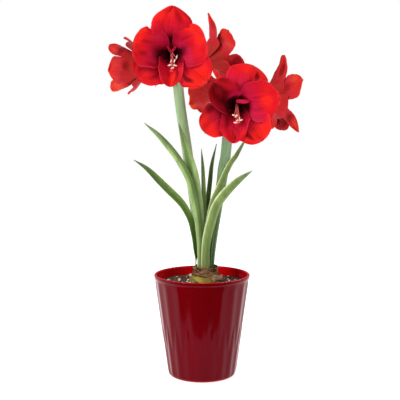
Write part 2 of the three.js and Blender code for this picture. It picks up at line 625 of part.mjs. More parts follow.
/** Path of a filament or style in the bloom's frame, which sinks and lifts again at its end. */
function strandPath(angle, length, spread, openness) {
  const { discHeight, start, straight, droop, lift } = STAMENS;
  const at = (radius, fall, above) => new THREE.Vector3(
    radius * Math.cos(angle), radius * Math.sin(angle) - fall * openness, discHeight + above);
  return new THREE.CubicBezierCurve3(
    at(start, 0, 0.4), at(start, 0, straight * Math.sqrt(openness)),
    at(spread * 0.6, droop * 0.6, length * 0.75), at(spread, droop - lift, length));
}

/** Stamens on a small disc, with an anther on each, and the longer style. */
function stamens(bloom) {
  const { count, discHeight, discRadius, discThickness, discSides, filamentRadius, taper } = STAMENS;
  const { reach, shortest, spread, styleExtra, antherRadius, antherLength, sides, steps } = STAMENS;
  const openness = bloom.strands ** 2;
  const discTop = discHeight + discThickness;
  const disc = [[0, discHeight], [discRadius, discHeight], [discRadius, discTop], [0, discTop]];
  const pieces = [turned(disc, discSides)];
  for (let k = 0; k < count; k += 1) {
    const length = bloom.strands * reach * lerp(shortest, 1, random());
    const path = strandPath(Math.PI / 2 + (2 * Math.PI * k) / count, length, spread * openness, openness);
    const anther = new THREE.OctahedronGeometry(1).scale(antherRadius, antherLength / 2, antherRadius)
      .rotateX(0.5 * random()).rotateZ(2 * random()).translate(...path.getPoint(1).toArray());
    pieces.push(tube(path, (share) => filamentRadius * (1 - taper * share), sides, steps), closed(anther));
  }
  const style = strandPath(-Math.PI / 2, bloom.strands * (reach + styleExtra), 0, openness);
  pieces.push(tube(style, () => filamentRadius, sides, steps));
  return inBloom(joined(pieces), bloom);
}

// ---------------------------------------------------------------- assembly

const amaryllis = new THREE.Group();

function add(name, geometry, [color, roughness]) {
  geometry.computeVertexNormals();
  const mesh = new THREE.Mesh(geometry, new THREE.MeshStandardMaterial({ color, roughness, metalness: 0 }));
  mesh.name = name;
  amaryllis.add(mesh);
}

add('pot', pot(), FINISHES.pot);
add('soil', soil(), FINISHES.soil);
add('bulb', bulb(), FINISHES.bulb);
Object.entries(SCAPES).forEach(([side, { bracts }]) => {
  add(`scape_${side}`, scape(side), FINISHES.scape);
  add(`bract_${side}_a`, bract(side, bracts[0]), FINISHES.bract);
  add(`bract_${side}_b`, bract(side, bracts[1]), FINISHES.bract);
});
LEAVES.forEach((spec, k) => add(`leaf_${k + 1}`, leaf(spec), FINISHES.leaf));
BLOOMS.forEach((bloom) => {
  add(`petals_${bloom.name}`, petals(bloom), FINISHES.petals);
  add(`stamens_${bloom.name}`, stamens(bloom), FINISHES.stamens);
});

export default amaryllis;
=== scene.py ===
"""Looks of a potted amaryllis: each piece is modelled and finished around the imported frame."""
import logging
import random
from collections.abc import Callable, Sequence
from dataclasses import dataclass, field
from enum import Enum
from math import cos, degrees, exp, hypot, log, pi, radians, sin, sqrt, tan, tau

import bpy
from mathutils import Matrix, Vector, noise


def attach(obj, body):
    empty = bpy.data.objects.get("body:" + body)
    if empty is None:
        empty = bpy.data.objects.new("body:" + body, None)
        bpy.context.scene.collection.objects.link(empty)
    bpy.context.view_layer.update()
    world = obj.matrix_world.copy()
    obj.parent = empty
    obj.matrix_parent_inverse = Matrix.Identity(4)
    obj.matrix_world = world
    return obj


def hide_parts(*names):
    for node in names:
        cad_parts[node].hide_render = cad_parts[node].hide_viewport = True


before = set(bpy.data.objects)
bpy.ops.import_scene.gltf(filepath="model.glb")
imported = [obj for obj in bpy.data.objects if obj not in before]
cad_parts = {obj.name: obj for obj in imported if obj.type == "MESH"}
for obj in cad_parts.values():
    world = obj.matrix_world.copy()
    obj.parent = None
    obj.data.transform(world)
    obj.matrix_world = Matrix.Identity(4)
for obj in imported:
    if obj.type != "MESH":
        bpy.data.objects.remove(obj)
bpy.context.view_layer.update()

LOG = logging.getLogger("amaryllis")

MM = 0.001
# Tones kept at a tepal's points: dark throat, partly painted shade; magenta, partly painted sheen;
# painted light; painted shade; painted margin highlight.
TONES = ("throat", "rose", "warm", "shade", "margin")
UP = Vector((0.0, 0.0, 1.0))
BODY = "root"

Piece = bpy.types.Object
Material = bpy.types.Material
Socket = bpy.types.NodeSocket
Point = tuple[float, float, float]
Colour = tuple[float, float, float, float]
Shape = Callable[[float, float], Vector]


# -------------------- numbers


def smooth(value: float, low: float, high: float) -> float:
    """Smooth step of value, 0 below low and 1 above high."""
    share = min(max((value - low) / (high - low), 0.0), 1.0)
    return share * share * (3.0 - 2.0 * share)


def lerp(low: float, high: float, share: float) -> float:
    """Value at a share of the way from low to high."""
    return low + (high - low) * share


def clamp(value: float, low: float, high: float) -> float:
    """Value held between low and high."""
    return min(max(value, low), high)


def tint(red: int, green: int, blue: int) -> Colour:
    """Linear colour of an 8-bit screen colour.

    Args:
        red: Red from 0 to 255.
        green: Green from 0 to 255.
        blue: Blue from 0 to 255.

    Returns:
        The colour's linear red, green, blue and a full alpha.
    """
    def linear(value: int) -> float:
        """Linear share of one channel."""
        share = value / 255
        return share / 12.92 if share <= 0.04045 else ((share + 0.055) / 1.055) ** 2.4

    return (linear(red), linear(green), linear(blue), 1.0)


def millimetres(point: Sequence[float]) -> Vector:
    """Vector in metres of a point given in millimetres."""
    return Vector(point) * MM


def polar(radius: float, angle: float, height: float) -> Vector:
    """Point at a radius from Z, an angle from +X in radians and a height."""
    return Vector((radius * cos(angle), radius * sin(angle), height))


def compass(angle: float) -> Vector:
    """Level unit vector towards a compass angle in degrees, 0 along +X and 90 along +Y."""
    return polar(1.0, radians(angle), 0.0)


# -------------------- paths


def cubic(points: Sequence[Vector], share: float) -> Vector:
    """Point of a cubic Bezier curve.

    Args:
        points: Its four control points.
        share: Share of the curve's parameter.

    Returns:
        The point.
    """
    a, b, c, d = points
    rest = 1.0 - share
    return (a * rest ** 3 + b * (3 * rest * rest * share)
            + c * (3 * rest * share * share) + d * share ** 3)


class Path:
    """A curve that is walked by the share of its length.

    Attributes:
        points: The points that it runs through.
        lengths: Running length at each sample.
    """

    SAMPLES = 200

    def __init__(self, points: Sequence[Vector]) -> None:
        """Keeps the points and measures the curve.

        Args:
            points: The points that it runs through.
        """
        self.points = [Vector(point) for point in points]
        samples = [self.at(i / self.SAMPLES) for i in range(self.SAMPLES + 1)]
        self.lengths = [0.0]
        for before, after in zip(samples, samples[1:]):
            self.lengths.append(self.lengths[-1] + (after - before).length)

    def at(self, share: float) -> Vector:
        """Point at a share of the curve's own parameter, through all the points.

        Args:
            share: Share of the curve's own parameter.

        Returns:
            The point.
        """
        last = len(self.points) - 1
        place = share * last
        low = min(int(place), last - 1)
        t = place - low
        start, end = self.points[low], self.points[low + 1]
        before = self.points[low - 1] if low > 0 else 2 * start - end
        after = self.points[low + 2] if low + 2 <= last else 2 * end - start
        leave, arrive = 0.5 * (end - before), 0.5 * (after - start)
        return (start + leave * t + (3 * (end - start) - 2 * leave - arrive) * t * t
                + (2 * (start - end) + leave + arrive) * t ** 3)

    def parameter(self, share: float) -> float:
        """Curve parameter at a share of the length.

        Args:
            share: Share of the length.

        Returns:
            The parameter, from 0 to 1.
        """
        target = clamp(share, 0.0, 1.0) * self.lengths[-1]
        high = next((i for i, length in enumerate(self.lengths) if length >= target), self.SAMPLES)
        if high == 0:
            return 0.0
        low = high - 1
        step = self.lengths[high] - self.lengths[low]
        return (low + (target - self.lengths[low]) / max(step, 1e-12)) / self.SAMPLES

    def point(self, share: float) -> Vector:
        """Point at a share of the length."""
        return self.at(self.parameter(share))

    def direction(self, share: float) -> Vector:
        """Unit direction at a share of the length."""
        t = self.parameter(share)
        return (self.at(min(t + 1e-3, 1.0)) - self.at(max(t - 1e-3, 0.0))).normalized()


class Bezier(Path):
    """Cubic Bezier curve through four control points."""

    def at(self, share: float) -> Vector:
        """Point at a share of the curve's parameter."""
        return cubic(self.points, share)


class Walk:
    """Frames along a path, with a side vector carried from its start.

    Attributes:
        count: How many steps it has.
        frames: Point, direction and side at each step.
    """

    def __init__(self, path: Path, side: Vector, count: int) -> None:
        """Carries the side vector along the path.

        Args:
            path: The path to walk.
            side: The side vector at the start.
            count: How many steps to carry it in.
        """
        self.count = count
        self.frames: list[tuple[Vector, Vector, Vector]] = []
        for i in range(count + 1):
            direction = path.direction(i / count)
            side = (side - direction * side.dot(direction)).normalized()
            self.frames.append((path.point(i / count), direction, side))

    def at(self, share: float) -> tuple[Vector, Vector, Vector]:
        """Point, direction and side at a share of the length.

        Args:
            share: Share of the length.

        Returns:
            The point and both unit vectors.
        """
        place = clamp(share, 0.0, 1.0) * self.count
        low = min(int(place), self.count - 1)
        first, second = self.frames[low], self.frames[low + 1]
        point, direction, side = (a.lerp(b, place - low) for a, b in zip(first, second))
        return point, direction.normalized(), side.normalized()


# -------------------- meshes


def deselect() -> None:
    """Leaves edit mode and deselects every object."""
    if bpy.context.mode != "OBJECT":
        bpy.ops.object.mode_set(mode="OBJECT")
    bpy.ops.object.select_all(action="DESELECT")


def choose(*pieces: Piece) -> None:
    """Selects the pieces and makes the first one active.

    Args:
        pieces: The pieces.
    """
    deselect()
    for piece in pieces:
        piece.select_set(True)
    bpy.context.view_layer.objects.active = pieces[0]


def sheet(name: str, rows: int, columns: int, place: Shape) -> Piece:
    """Models an open sheet from a grid primitive.

    Args:
        name: The piece's name.
        rows: Faces along the sheet.
        columns: Faces across the sheet.
        place: Gives a point from the share along it and from -1 to 1 across it.

    Returns:
        The sheet, with its UV map's x across it and y along it.
    """
    deselect()
    bpy.ops.mesh.primitive_grid_add(x_subdivisions=columns, y_subdivisions=rows, size=2.0)
    piece = bpy.context.active_object
    piece.name = piece.data.name = name
    for vertex in piece.data.vertices:
        vertex.co = place((vertex.co.y + 1.0) / 2.0, vertex.co.x)
    return piece


def close(piece: Piece) -> None:
    """Merges the seams and poles of a rolled sheet and turns its faces outwards.

    Args:
        piece: The rolled sheet.
    """
    choose(piece)
    bpy.ops.object.mode_set(mode="EDIT")
    bpy.ops.mesh.select_all(action="SELECT")
    bpy.ops.mesh.remove_doubles(threshold=0.002 * MM)
    bpy.ops.mesh.normals_make_consistent(inside=False)
    bpy.ops.object.mode_set(mode="OBJECT")


def apply_modifier(piece: Piece, kind: str, **settings: object) -> None:
    """Adds a modifier to the piece and applies it.

    Args:
        piece: The piece.
        kind: The modifier's type.
        settings: Its settings by name.
    """
    choose(piece)
    bpy.ops.object.modifier_add(type=kind)
    modifier = piece.modifiers[-1]
    for key, value in settings.items():
        setattr(modifier, key, value)
    bpy.ops.object.modifier_apply(modifier=modifier.name)


def thicken(piece: Piece, thickness: float, outer: Material, inner: Material) -> None:
    """Gives a sheet its thickness, half to each side.

    Args:
        piece: The sheet.
        thickness: Its thickness.
        outer: Finish of the side that its faces look to.
        inner: Finish of the other side.
    """
    piece.data.materials.append(outer)
    piece.data.materials.append(inner)
    apply_modifier(piece, "SOLIDIFY", thickness=thickness, offset=0.0, material_offset=1)


def turned(name: str, profile: Sequence[tuple[float, float]], sides: int,
           shape: Callable[[float, float, float], Vector] | None = None) -> Piece:
    """Models a closed body turned about Z.

    Args:
        name: The piece's name.
        profile: Radius and height of each ring, from axis to axis.
        sides: Faces round it.
        shape: Gives a point from radius, height and angle, or None for plain turning.

    Returns:
        The closed body.
    """
    last = len(profile) - 1

    def place(along: float, across: float) -> Vector:
        """Point of a ring.

        Args:
            along: Share of the profile.
            across: From -1 to 1 round it.

        Returns:
            The point.
        """
        radius, height = profile[round(along * last)]
        angle = -pi / 2 + pi * (1.0 if across > 0.9999 else across)
        if across < -0.9999:
            angle = pi / 2
        plain = radius < 1e-9 or shape is None
        return polar(radius, angle, height) if plain else shape(radius, height, angle)

    piece = sheet(name, last, sides, place)
    close(piece)
    return piece


def tube(name: str, path: Path, radius: Callable[[float], float], rows: int, sides: int,
         relief: Callable[[float, float], float] | None = None) -> Piece:
    """Models a closed round body along a path.

    Args:
        name: The piece's name.
        path: Its middle line.
        radius: Its radius at a share of the length.
        rows: Faces along it.
        sides: Faces round it.
        relief: Adds to the radius at a share of the length and an angle, or None.

    Returns:
        The closed body.
    """
    start = path.direction(0.0)
    side = Vector((1.0, 0.0, 0.0)) if abs(start.z) > 0.9 else UP
    walk = Walk(path, side, max(rows, 24))

    def place(along: float, across: float) -> Vector:
        """Point on the tube's skin, drawn in to a pole at both ends.

        Args:
            along: Share of the rows, with a pole row at both ends.
            across: From -1 to 1 round it.

        Returns:
            The point.
        """
        row = round(along * (rows + 2))
        share = clamp((row - 1) / rows, 0.0, 1.0)
        point, direction, first = walk.at(share)
        angle = pi * (-1.0 if across > 0.9999 else across)
        size = 0.0 if row in (0, rows + 2) else radius(share)
        if size and relief:
            size += relief(share, angle)
        second = direction.cross(first)
        return point + first * (size * cos(angle)) + second * (size * sin(angle))

    piece = sheet(name, rows + 2, sides, place)
    close(piece)
    return piece


def mark(piece: Piece, name: str, values: Sequence[float]) -> None:
    """Keeps a number at each of the mesh's points.

    Args:
        piece: The piece.
        name: The number's name, which its finish reads.
        values: The number at each point, or one for them all.
    """
    points = len(piece.data.vertices)
    kept = piece.data.attributes.new(name, "FLOAT", "POINT")
    kept.data.foreach_set("value", values if len(values) == points else [values[0]] * points)


def joined(name: str, pieces: Sequence[Piece]) -> Piece:
    """Joins pieces into one object that keeps each one's material slots.

    Args:
        name: Name of the joined piece.
        pieces: The pieces.

    Returns:
        The joined piece.
    """
    choose(*pieces)
    if len(pieces) > 1:
        bpy.ops.object.join()
    pieces[0].name = pieces[0].data.name = name
    return pieces[0]


def dressed(piece: Piece, slot: str, *materials: Material) -> Piece:
    """Gives a piece its materials and smooth shading, and lets it ride on the body.

    Args:
        piece: The piece.
        slot: Not used.
        materials: The materials of its slots, or none to keep the ones it has.

    Returns:
        The same piece.
    """
    if materials:
        piece.data.materials.clear()
        for material in materials:
            piece.data.materials.append(material)
    choose(piece)
    bpy.ops.object.shade_smooth_by_angle(angle=radians(50))
    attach(piece, BODY)
    LOG.info("%s: %d faces", piece.name, len(piece.data.polygons))
    return piece


# -------------------- finishes


class Tree:
    """Node tree of one new material, with short calls that add and link nodes."""

    def __init__(self, name: str) -> None:
        """Starts the material with its shader alone.

        Args:
            name: The material's name.
        """
        self.material = bpy.data.materials.new(name)
        self.material.use_nodes = True
        self.nodes = self.material.node_tree.nodes
        self.links = self.material.node_tree.links
        self.shader = next(node for node in self.nodes if node.type == "BSDF_PRINCIPLED")

    def feed(self, socket: Socket, value: object) -> None:
        """Links a socket to another one, or sets its value.

        Args:
            socket: The input.
            value: An output to link, or a value to set.
        """
        if isinstance(value, Socket):
            self.links.new(value, socket)
        else:
            socket.default_value = value

    def set(self, **values: object) -> None:
        """Feeds the shader's sockets, named with underscores for spaces."""
        for key, value in values.items():
            self.feed(self.shader.inputs[key.replace("_", " ")], value)

    def node(self, kind: str, inputs: dict[int | str, object], output: int | str = 0,
             **settings: object) -> Socket:
        """Adds a node.

        Args:
            kind: Its type, without the words that all shader nodes start with.
            inputs: What feeds its inputs, by place or name.
            output: Place or name of the output that is wanted.
            settings: Its other settings by name.

        Returns:
            The output.
        """
        node = self.nodes.new(f"ShaderNode{kind}")
        for key, value in settings.items():
            setattr(node, key, value)
        for key, value in inputs.items():
            self.feed(node.inputs[key], value)
        return node.outputs[output]

    def math(self, operation: str, *values: object, clamped: bool = False) -> Socket:
        """Result of a math node on the values."""
        return self.node("Math", dict(enumerate(values)), operation=operation, use_clamp=clamped)

    def span(self, value: object, low: float, high: float, start: float = 0.0,
             end: float = 1.0) -> Socket:
        """Value mapped smoothly from low..high to start..end."""
        inputs = dict(enumerate((value, low, high, start, end)))
        return self.node("MapRange", inputs, interpolation_type="SMOOTHSTEP")

    def mix(self, share: object, low: object, high: object, blend: str = "MIX") -> Socket:
        """Blend from the low colour to the high one."""
        return self.node("Mix", {0: share, 6: low, 7: high}, 2, data_type="RGBA", blend_type=blend)

    def ramp(self, share: object, stops: Sequence[tuple[float, Colour]]) -> Socket:
        """Colour from a ramp.

        Args:
            share: Place on the ramp.
            stops: Places and colours of the ramp's stops.

        Returns:
            The colour.
        """
        node = self.nodes.new("ShaderNodeValToRGB")
        node.color_ramp.interpolation = "EASE"
        elements = node.color_ramp.elements
        while len(elements) < len(stops):
            elements.new(0.5)
        for element, (place, colour) in zip(elements, stops):
            element.position, element.color = place, colour
        self.feed(node.inputs[0], share)
        return node.outputs[0]

    def surface(self) -> tuple[Socket, Socket, Socket]:
        """The UV map's vector, its share across and its share along the piece."""
        uv = self.node("UVMap", {})
        return uv, self.node("SeparateXYZ", {0: uv}, 0), self.node("SeparateXYZ", {0: uv}, 1)

    def place(self) -> Socket:
        """Object coordinates."""
        return self.node("TexCoord", {}, "Object")

    def height(self) -> Socket:
        """Height above the pot's base, in metres."""
        return self.node("SeparateXYZ", {0: self.place()}, 2)

    def noise(self, vector: object, scale: Point, detail: float = 2.0,
              roughness: float = 0.5) -> Socket:
        """Noise from 0 to 1 on a vector scaled along each axis.

        Args:
            vector: Where it is read.
            scale: Scale along each axis.
            detail: How many finer layers it has.
            roughness: How strong those are.

        Returns:
            The noise.
        """
        scaled = self.node("Mapping", {"Vector": vector, "Scale": scale})
        inputs = {"Vector": scaled, "Scale": 1.0, "Detail": detail, "Roughness": roughness}
        return self.node("TexNoise", inputs)

    def attribute(self, name: str) -> Socket:
        """Number kept at the mesh's points."""
        return self.node("Attribute", {}, "Fac", attribute_name=name)

    def bump(self, height: object, depth: float, strength: float = 1.0) -> None:
        """Raises the shader's surface by a height from 0 to 1 times depth in metres."""
        self.set(Normal=self.node("Bump", {"Strength": strength, "Distance": depth, "Height": height}))


@dataclass(frozen=True)
class PetalFinish:
    """Velvety tepal skin: veined, dark in the throat from its own colour and painted shade, with orange
    painted light towards the tips, painted shade, magenta with painted sheen and a painted highlight
    along the margin.

    Attributes:
        name: The material's name.
        along: Colours from the tube to the tip.
        warm: Colour of its painted light, an orange.
        rose: Colour of its magenta, partly its own colour beside the throat and partly painted sheen.
        deep: Colour of its painted shade.
        vein: How dark the veins are drawn.
        margin: Colour of the painted highlight along its thin margin.
        depth: Colour towards the tube; on the face it is dark, partly its own colour and partly painted
            shade of the deep tube.
        midrib: Colour of the midrib near the tube.
        midrib_reach: Share of the length where the midrib's colour has faded.
        sheen: Colour of its faint sheen.
    """

    name: str
    along: tuple[tuple[float, Colour], ...]
    warm: Colour
    rose: Colour
    deep: Colour
    vein: float
    margin: Colour
    depth: Colour
    midrib: Colour
    midrib_reach: float
    sheen: Colour = tint(255, 120, 160)

    def material(self) -> Material:
        """Makes the material.

        Returns:
            The material.
        """
        tree = Tree(self.name)
        uv, across, along = tree.surface()
        side = tree.math("MULTIPLY", tree.math("ABSOLUTE", tree.math("SUBTRACT", across, 0.5)), 2.0)
        clouds = tree.math("SUBTRACT", tree.noise(tree.place(), (24.0, 24.0, 24.0), 2.0), 0.5)
        base = tree.ramp(tree.math("ADD", along, tree.math("MULTIPLY", clouds, 0.3)), self.along)
        uneven = tree.math("MULTIPLY", clouds, 0.9)

        def share(name: str) -> Socket:
            """Share of a tone, clouded where it is partly there.

            Args:
                name: The tone's name.

            Returns:
                The share, from 0 to 1.
            """
            tone = tree.attribute(name)
            cloud = tree.math("MULTIPLY", uneven, tree.span(tone, 0.0, 0.3))
            return tree.math("ADD", tone, cloud, clamped=True)

        # Painted light: orange where the tepal is lit.
        colour = tree.mix(share("warm"), base, self.warm)
        # Magenta: partly its own colour beside the throat, partly painted sheen on lit folds.
        colour = tree.mix(share("rose"), colour, self.rose)
        rib = tree.math("MULTIPLY", tree.span(side, 0.03, 0.14, 0.8, 0.0),
                        tree.span(along, self.midrib_reach * 0.5, self.midrib_reach, 1.0, 0.0))
        colour = tree.mix(rib, colour, self.midrib)
        # Painted shade.
        colour = tree.mix(share("shade"), colour, self.deep)
        # Dark throat: partly its own colour, partly painted shade of the deep tube.
        colour = tree.mix(tree.attribute("throat"), colour, self.depth)
        # Painted highlight along the thin margin.
        colour = tree.mix(tree.attribute("margin"), colour, self.margin)
        veins = tree.noise(uv, (46.0, 2.4, 1.0), 3.0, 0.6)
        drawn = tree.span(veins, 0.35, 0.6, 1.0 - self.vein, 1.0)
        grey = tree.node("CombineColor", {0: drawn, 1: drawn, 2: drawn})
        colour = tree.mix(1.0, colour, grey, "MULTIPLY")
        tree.set(Base_Color=colour, Roughness=0.55, Specular_IOR_Level=0.06, Sheen_Weight=0.02,
                 Sheen_Roughness=0.4, Sheen_Tint=self.sheen,
                 Subsurface_Weight=0.12, Subsurface_Scale=2.0 * MM,
                 Subsurface_Radius=(1.0, 0.22, 0.15))
        tree.bump(veins, 0.35 * MM, 0.6)
        return tree.material


@dataclass(frozen=True)
class BladeFinish:
    """Waxy strap leaf, with bands of painted light and shade across it and parallel veins.

    Attributes:
        name: The material's name.
        across: Colours from the left margin to the right one, with painted highlights and painted shade.
        foot: Colour that its foot leans to.
        tip: Colour that its tip leans to.
        vein: Colour of the pale veins.
        mottle: Colour of the dark mottling.
    """

    name: str
    across: tuple[tuple[float, Colour], ...]
    foot: Colour
    tip: Colour
    vein: Colour = tint(190, 210, 150)
    mottle: Colour = tint(44, 74, 14)

    def material(self) -> Material:
        """Makes the material.

        Returns:
            The material.
        """
        tree = Tree(self.name)
        uv, across, along = tree.surface()
        drift = tree.noise(uv, (2.5, 5.0, 1.0), 1.0)
        drift = tree.math("MULTIPLY", tree.math("SUBTRACT", drift, 0.5), 0.16)
        shifted = tree.math("ADD", tree.math("SUBTRACT", 1.0, across), drift)
        # The bands across the leaf are painted light and shade: light margins and a dark side turned from
        # the light.
        colour = tree.ramp(shifted, self.across)
        colour = tree.mix(tree.span(along, 0.02, 0.35, 0.4, 0.0), colour, self.foot)
        colour = tree.mix(tree.span(along, 0.7, 1.0, 0.0, 0.8), colour, self.tip)
        veins = tree.noise(uv, (34.0, 1.3, 1.0), 3.0, 0.65)
        colour = tree.mix(tree.span(veins, 0.42, 0.62, 0.0, 0.26), colour, self.vein)
        mottle = tree.span(tree.noise(tree.place(), (90.0, 90.0, 22.0), 3.0), 0.4, 0.7, 0.0, 0.35)
        colour = tree.mix(mottle, colour, self.mottle)
        tree.set(Base_Color=colour, Roughness=0.38, Specular_IOR_Level=0.25,
                 Subsurface_Weight=0.08, Subsurface_Scale=1.5 * MM,
                 Subsurface_Radius=(0.5, 1.0, 0.2))
        tree.bump(veins, 0.4 * MM, 0.8)
        return tree.material


@dataclass(frozen=True)
class StemFinish:
    """Waxy scape: striped along its length, with a bluish bloom towards its top.

    Attributes:
        name: The material's name.
        heights: Colours by height above the pot's base, in metres.
        stripe: Colour of the pale stripes.
        dusk: Colour of the dark mottling.
    """

    name: str
    heights: tuple[tuple[float, Colour], ...]
    stripe: Colour = tint(190, 214, 170)
    dusk: Colour = tint(70, 104, 44)

    def material(self) -> Material:
        """Makes the material.

        Returns:
            The material.
        """
        tree = Tree(self.name)
        uv = tree.surface()[0]
        low, high = self.heights[0][0], self.heights[-1][0]
        share = tree.math("DIVIDE", tree.math("SUBTRACT", tree.height(), low), high - low)
        stops = [((height - low) / (high - low), colour) for height, colour in self.heights]
        colour = tree.ramp(share, stops)
        stripes = tree.noise(uv, (30.0, 1.5, 1.0), 3.0, 0.6)
        colour = tree.mix(tree.span(stripes, 0.42, 0.62, 0.0, 0.25), colour, self.stripe)
        dusk = tree.span(tree.noise(tree.place(), (60.0, 60.0, 14.0), 3.0), 0.45, 0.7, 0.0, 0.3)
        colour = tree.mix(dusk, colour, self.dusk)
        tree.set(Base_Color=colour, Roughness=0.42, Specular_IOR_Level=0.25,
                 Subsurface_Weight=0.1, Subsurface_Scale=2.0 * MM)
        tree.bump(stripes, 0.3 * MM, 0.6)
        return tree.material


@dataclass(frozen=True)
class PaperFinish:
    """Dry plant skin, fibrous and streaked.

    Attributes:
        name: The material's name.
        pale: Lighter colour.
        deep: Darker colour.
        streak: Colour of the fibres.
    """

    name: str
    pale: Colour
    deep: Colour
    streak: Colour

    def material(self) -> Material:
        """Makes the material.

        Returns:
            The material.
        """
        tree = Tree(self.name)
        fibres = tree.noise(tree.place(), (420.0, 420.0, 90.0), 4.0, 0.65)
        patches = tree.noise(tree.place(), (70.0, 70.0, 130.0), 3.0)
        colour = tree.mix(tree.span(patches, 0.38, 0.62), self.deep, self.pale)
        colour = tree.mix(tree.span(fibres, 0.5, 0.68, 0.0, 0.7), colour, self.streak)
        tree.set(Base_Color=colour, Roughness=0.72, Specular_IOR_Level=0.25)
        tree.bump(fibres, 0.5 * MM, 0.9)
        return tree.material


@dataclass(frozen=True)
class GlossFinish:
    """Glossy coloured plastic of the pot, with a faint moulding grain, and painted light on its inner
    wall and the top of its rim.

    Attributes:
        name: The material's name.
        colour: Colour of the wall.
        cloud: Colour of its darker clouds.
        inside: Colour of the painted light on the inner wall and of the painted highlight on top of the
            rim.
        glint: Colour of its reflections.
        bloom: Colour of its faint sheen.
    """

    name: str = "glossy_dark_red"
    colour: Colour = tint(99, 0, 4)
    cloud: Colour = tint(84, 0, 3)
    inside: Colour = tint(206, 4, 14)
    glint: Colour = (1.0, 0.34, 0.56, 1.0)
    bloom: Colour = tint(220, 30, 80)

    def material(self) -> Material:
        """Makes the material.

        Returns:
            The material.
        """
        tree = Tree(self.name)
        grain = tree.noise(tree.place(), (14.0, 14.0, 5.0), 2.0)
        colour = tree.mix(tree.span(grain, 0.35, 0.65, 0.0, 0.5), self.colour, self.cloud)
        # Painted light: the inner wall is painted brighter and the top of the rim takes a painted
        # highlight.
        colour = tree.mix(tree.attribute("lining"), colour, self.inside)
        tree.set(Base_Color=colour, Roughness=0.14, Specular_IOR_Level=0.17, Specular_Tint=self.glint,
                 Sheen_Weight=0.25, Sheen_Roughness=0.4, Sheen_Tint=self.bloom)
        ripple = tree.noise(tree.place(), (34.0, 34.0, 9.0), 2.0)
        tree.bump(ripple, 0.25 * MM, 0.25)
        return tree.material


@dataclass(frozen=True)
class GrainFinish:
    """Loose matter: a colour that breaks into darker and lighter grains.

    Attributes:
        name: The material's name.
        dark: Colour of the hollows.
        mid: Main colour.
        light: Colour of scattered light grains.
        scale: Grains in a metre.
        depth: Height of the grain, in metres.
    """

    name: str
    dark: Colour
    mid: Colour
    light: Colour
    scale: float
    depth: float

    def material(self) -> Material:
        """Makes the material.

        Returns:
            The material.
        """
        tree = Tree(self.name)
        grain = tree.noise(tree.place(), (self.scale,) * 3, 4.0, 0.7)
        colour = tree.ramp(grain, ((0.3, self.dark), (0.5, self.mid), (0.72, self.light)))
        tree.set(Base_Color=colour, Roughness=0.9, Specular_IOR_Level=0.2)
        tree.bump(grain, self.depth, 1.0)
        return tree.material


@dataclass(frozen=True)
class PollenFinish:
    """Powdery anthers and soft filaments.

    Attributes:
        name: The material's name.
        colour: Main colour.
        shade: Colour of its darker grains.
    """

    name: str
    colour: Colour
    shade: Colour

    def material(self) -> Material:
        """Makes the material.

        Returns:
            The material.
        """
        tree = Tree(self.name)
        powder = tree.noise(tree.place(), (900.0,) * 3, 3.0, 0.7)
        colour = tree.mix(tree.span(powder, 0.4, 0.65), self.shade, self.colour)
        tree.set(Base_Color=colour, Roughness=0.65, Specular_IOR_Level=0.3,
                 Subsurface_Weight=0.15, Subsurface_Scale=1.0 * MM)
        tree.bump(powder, 0.15 * MM, 0.7)
        return tree.material


# -------------------- pot


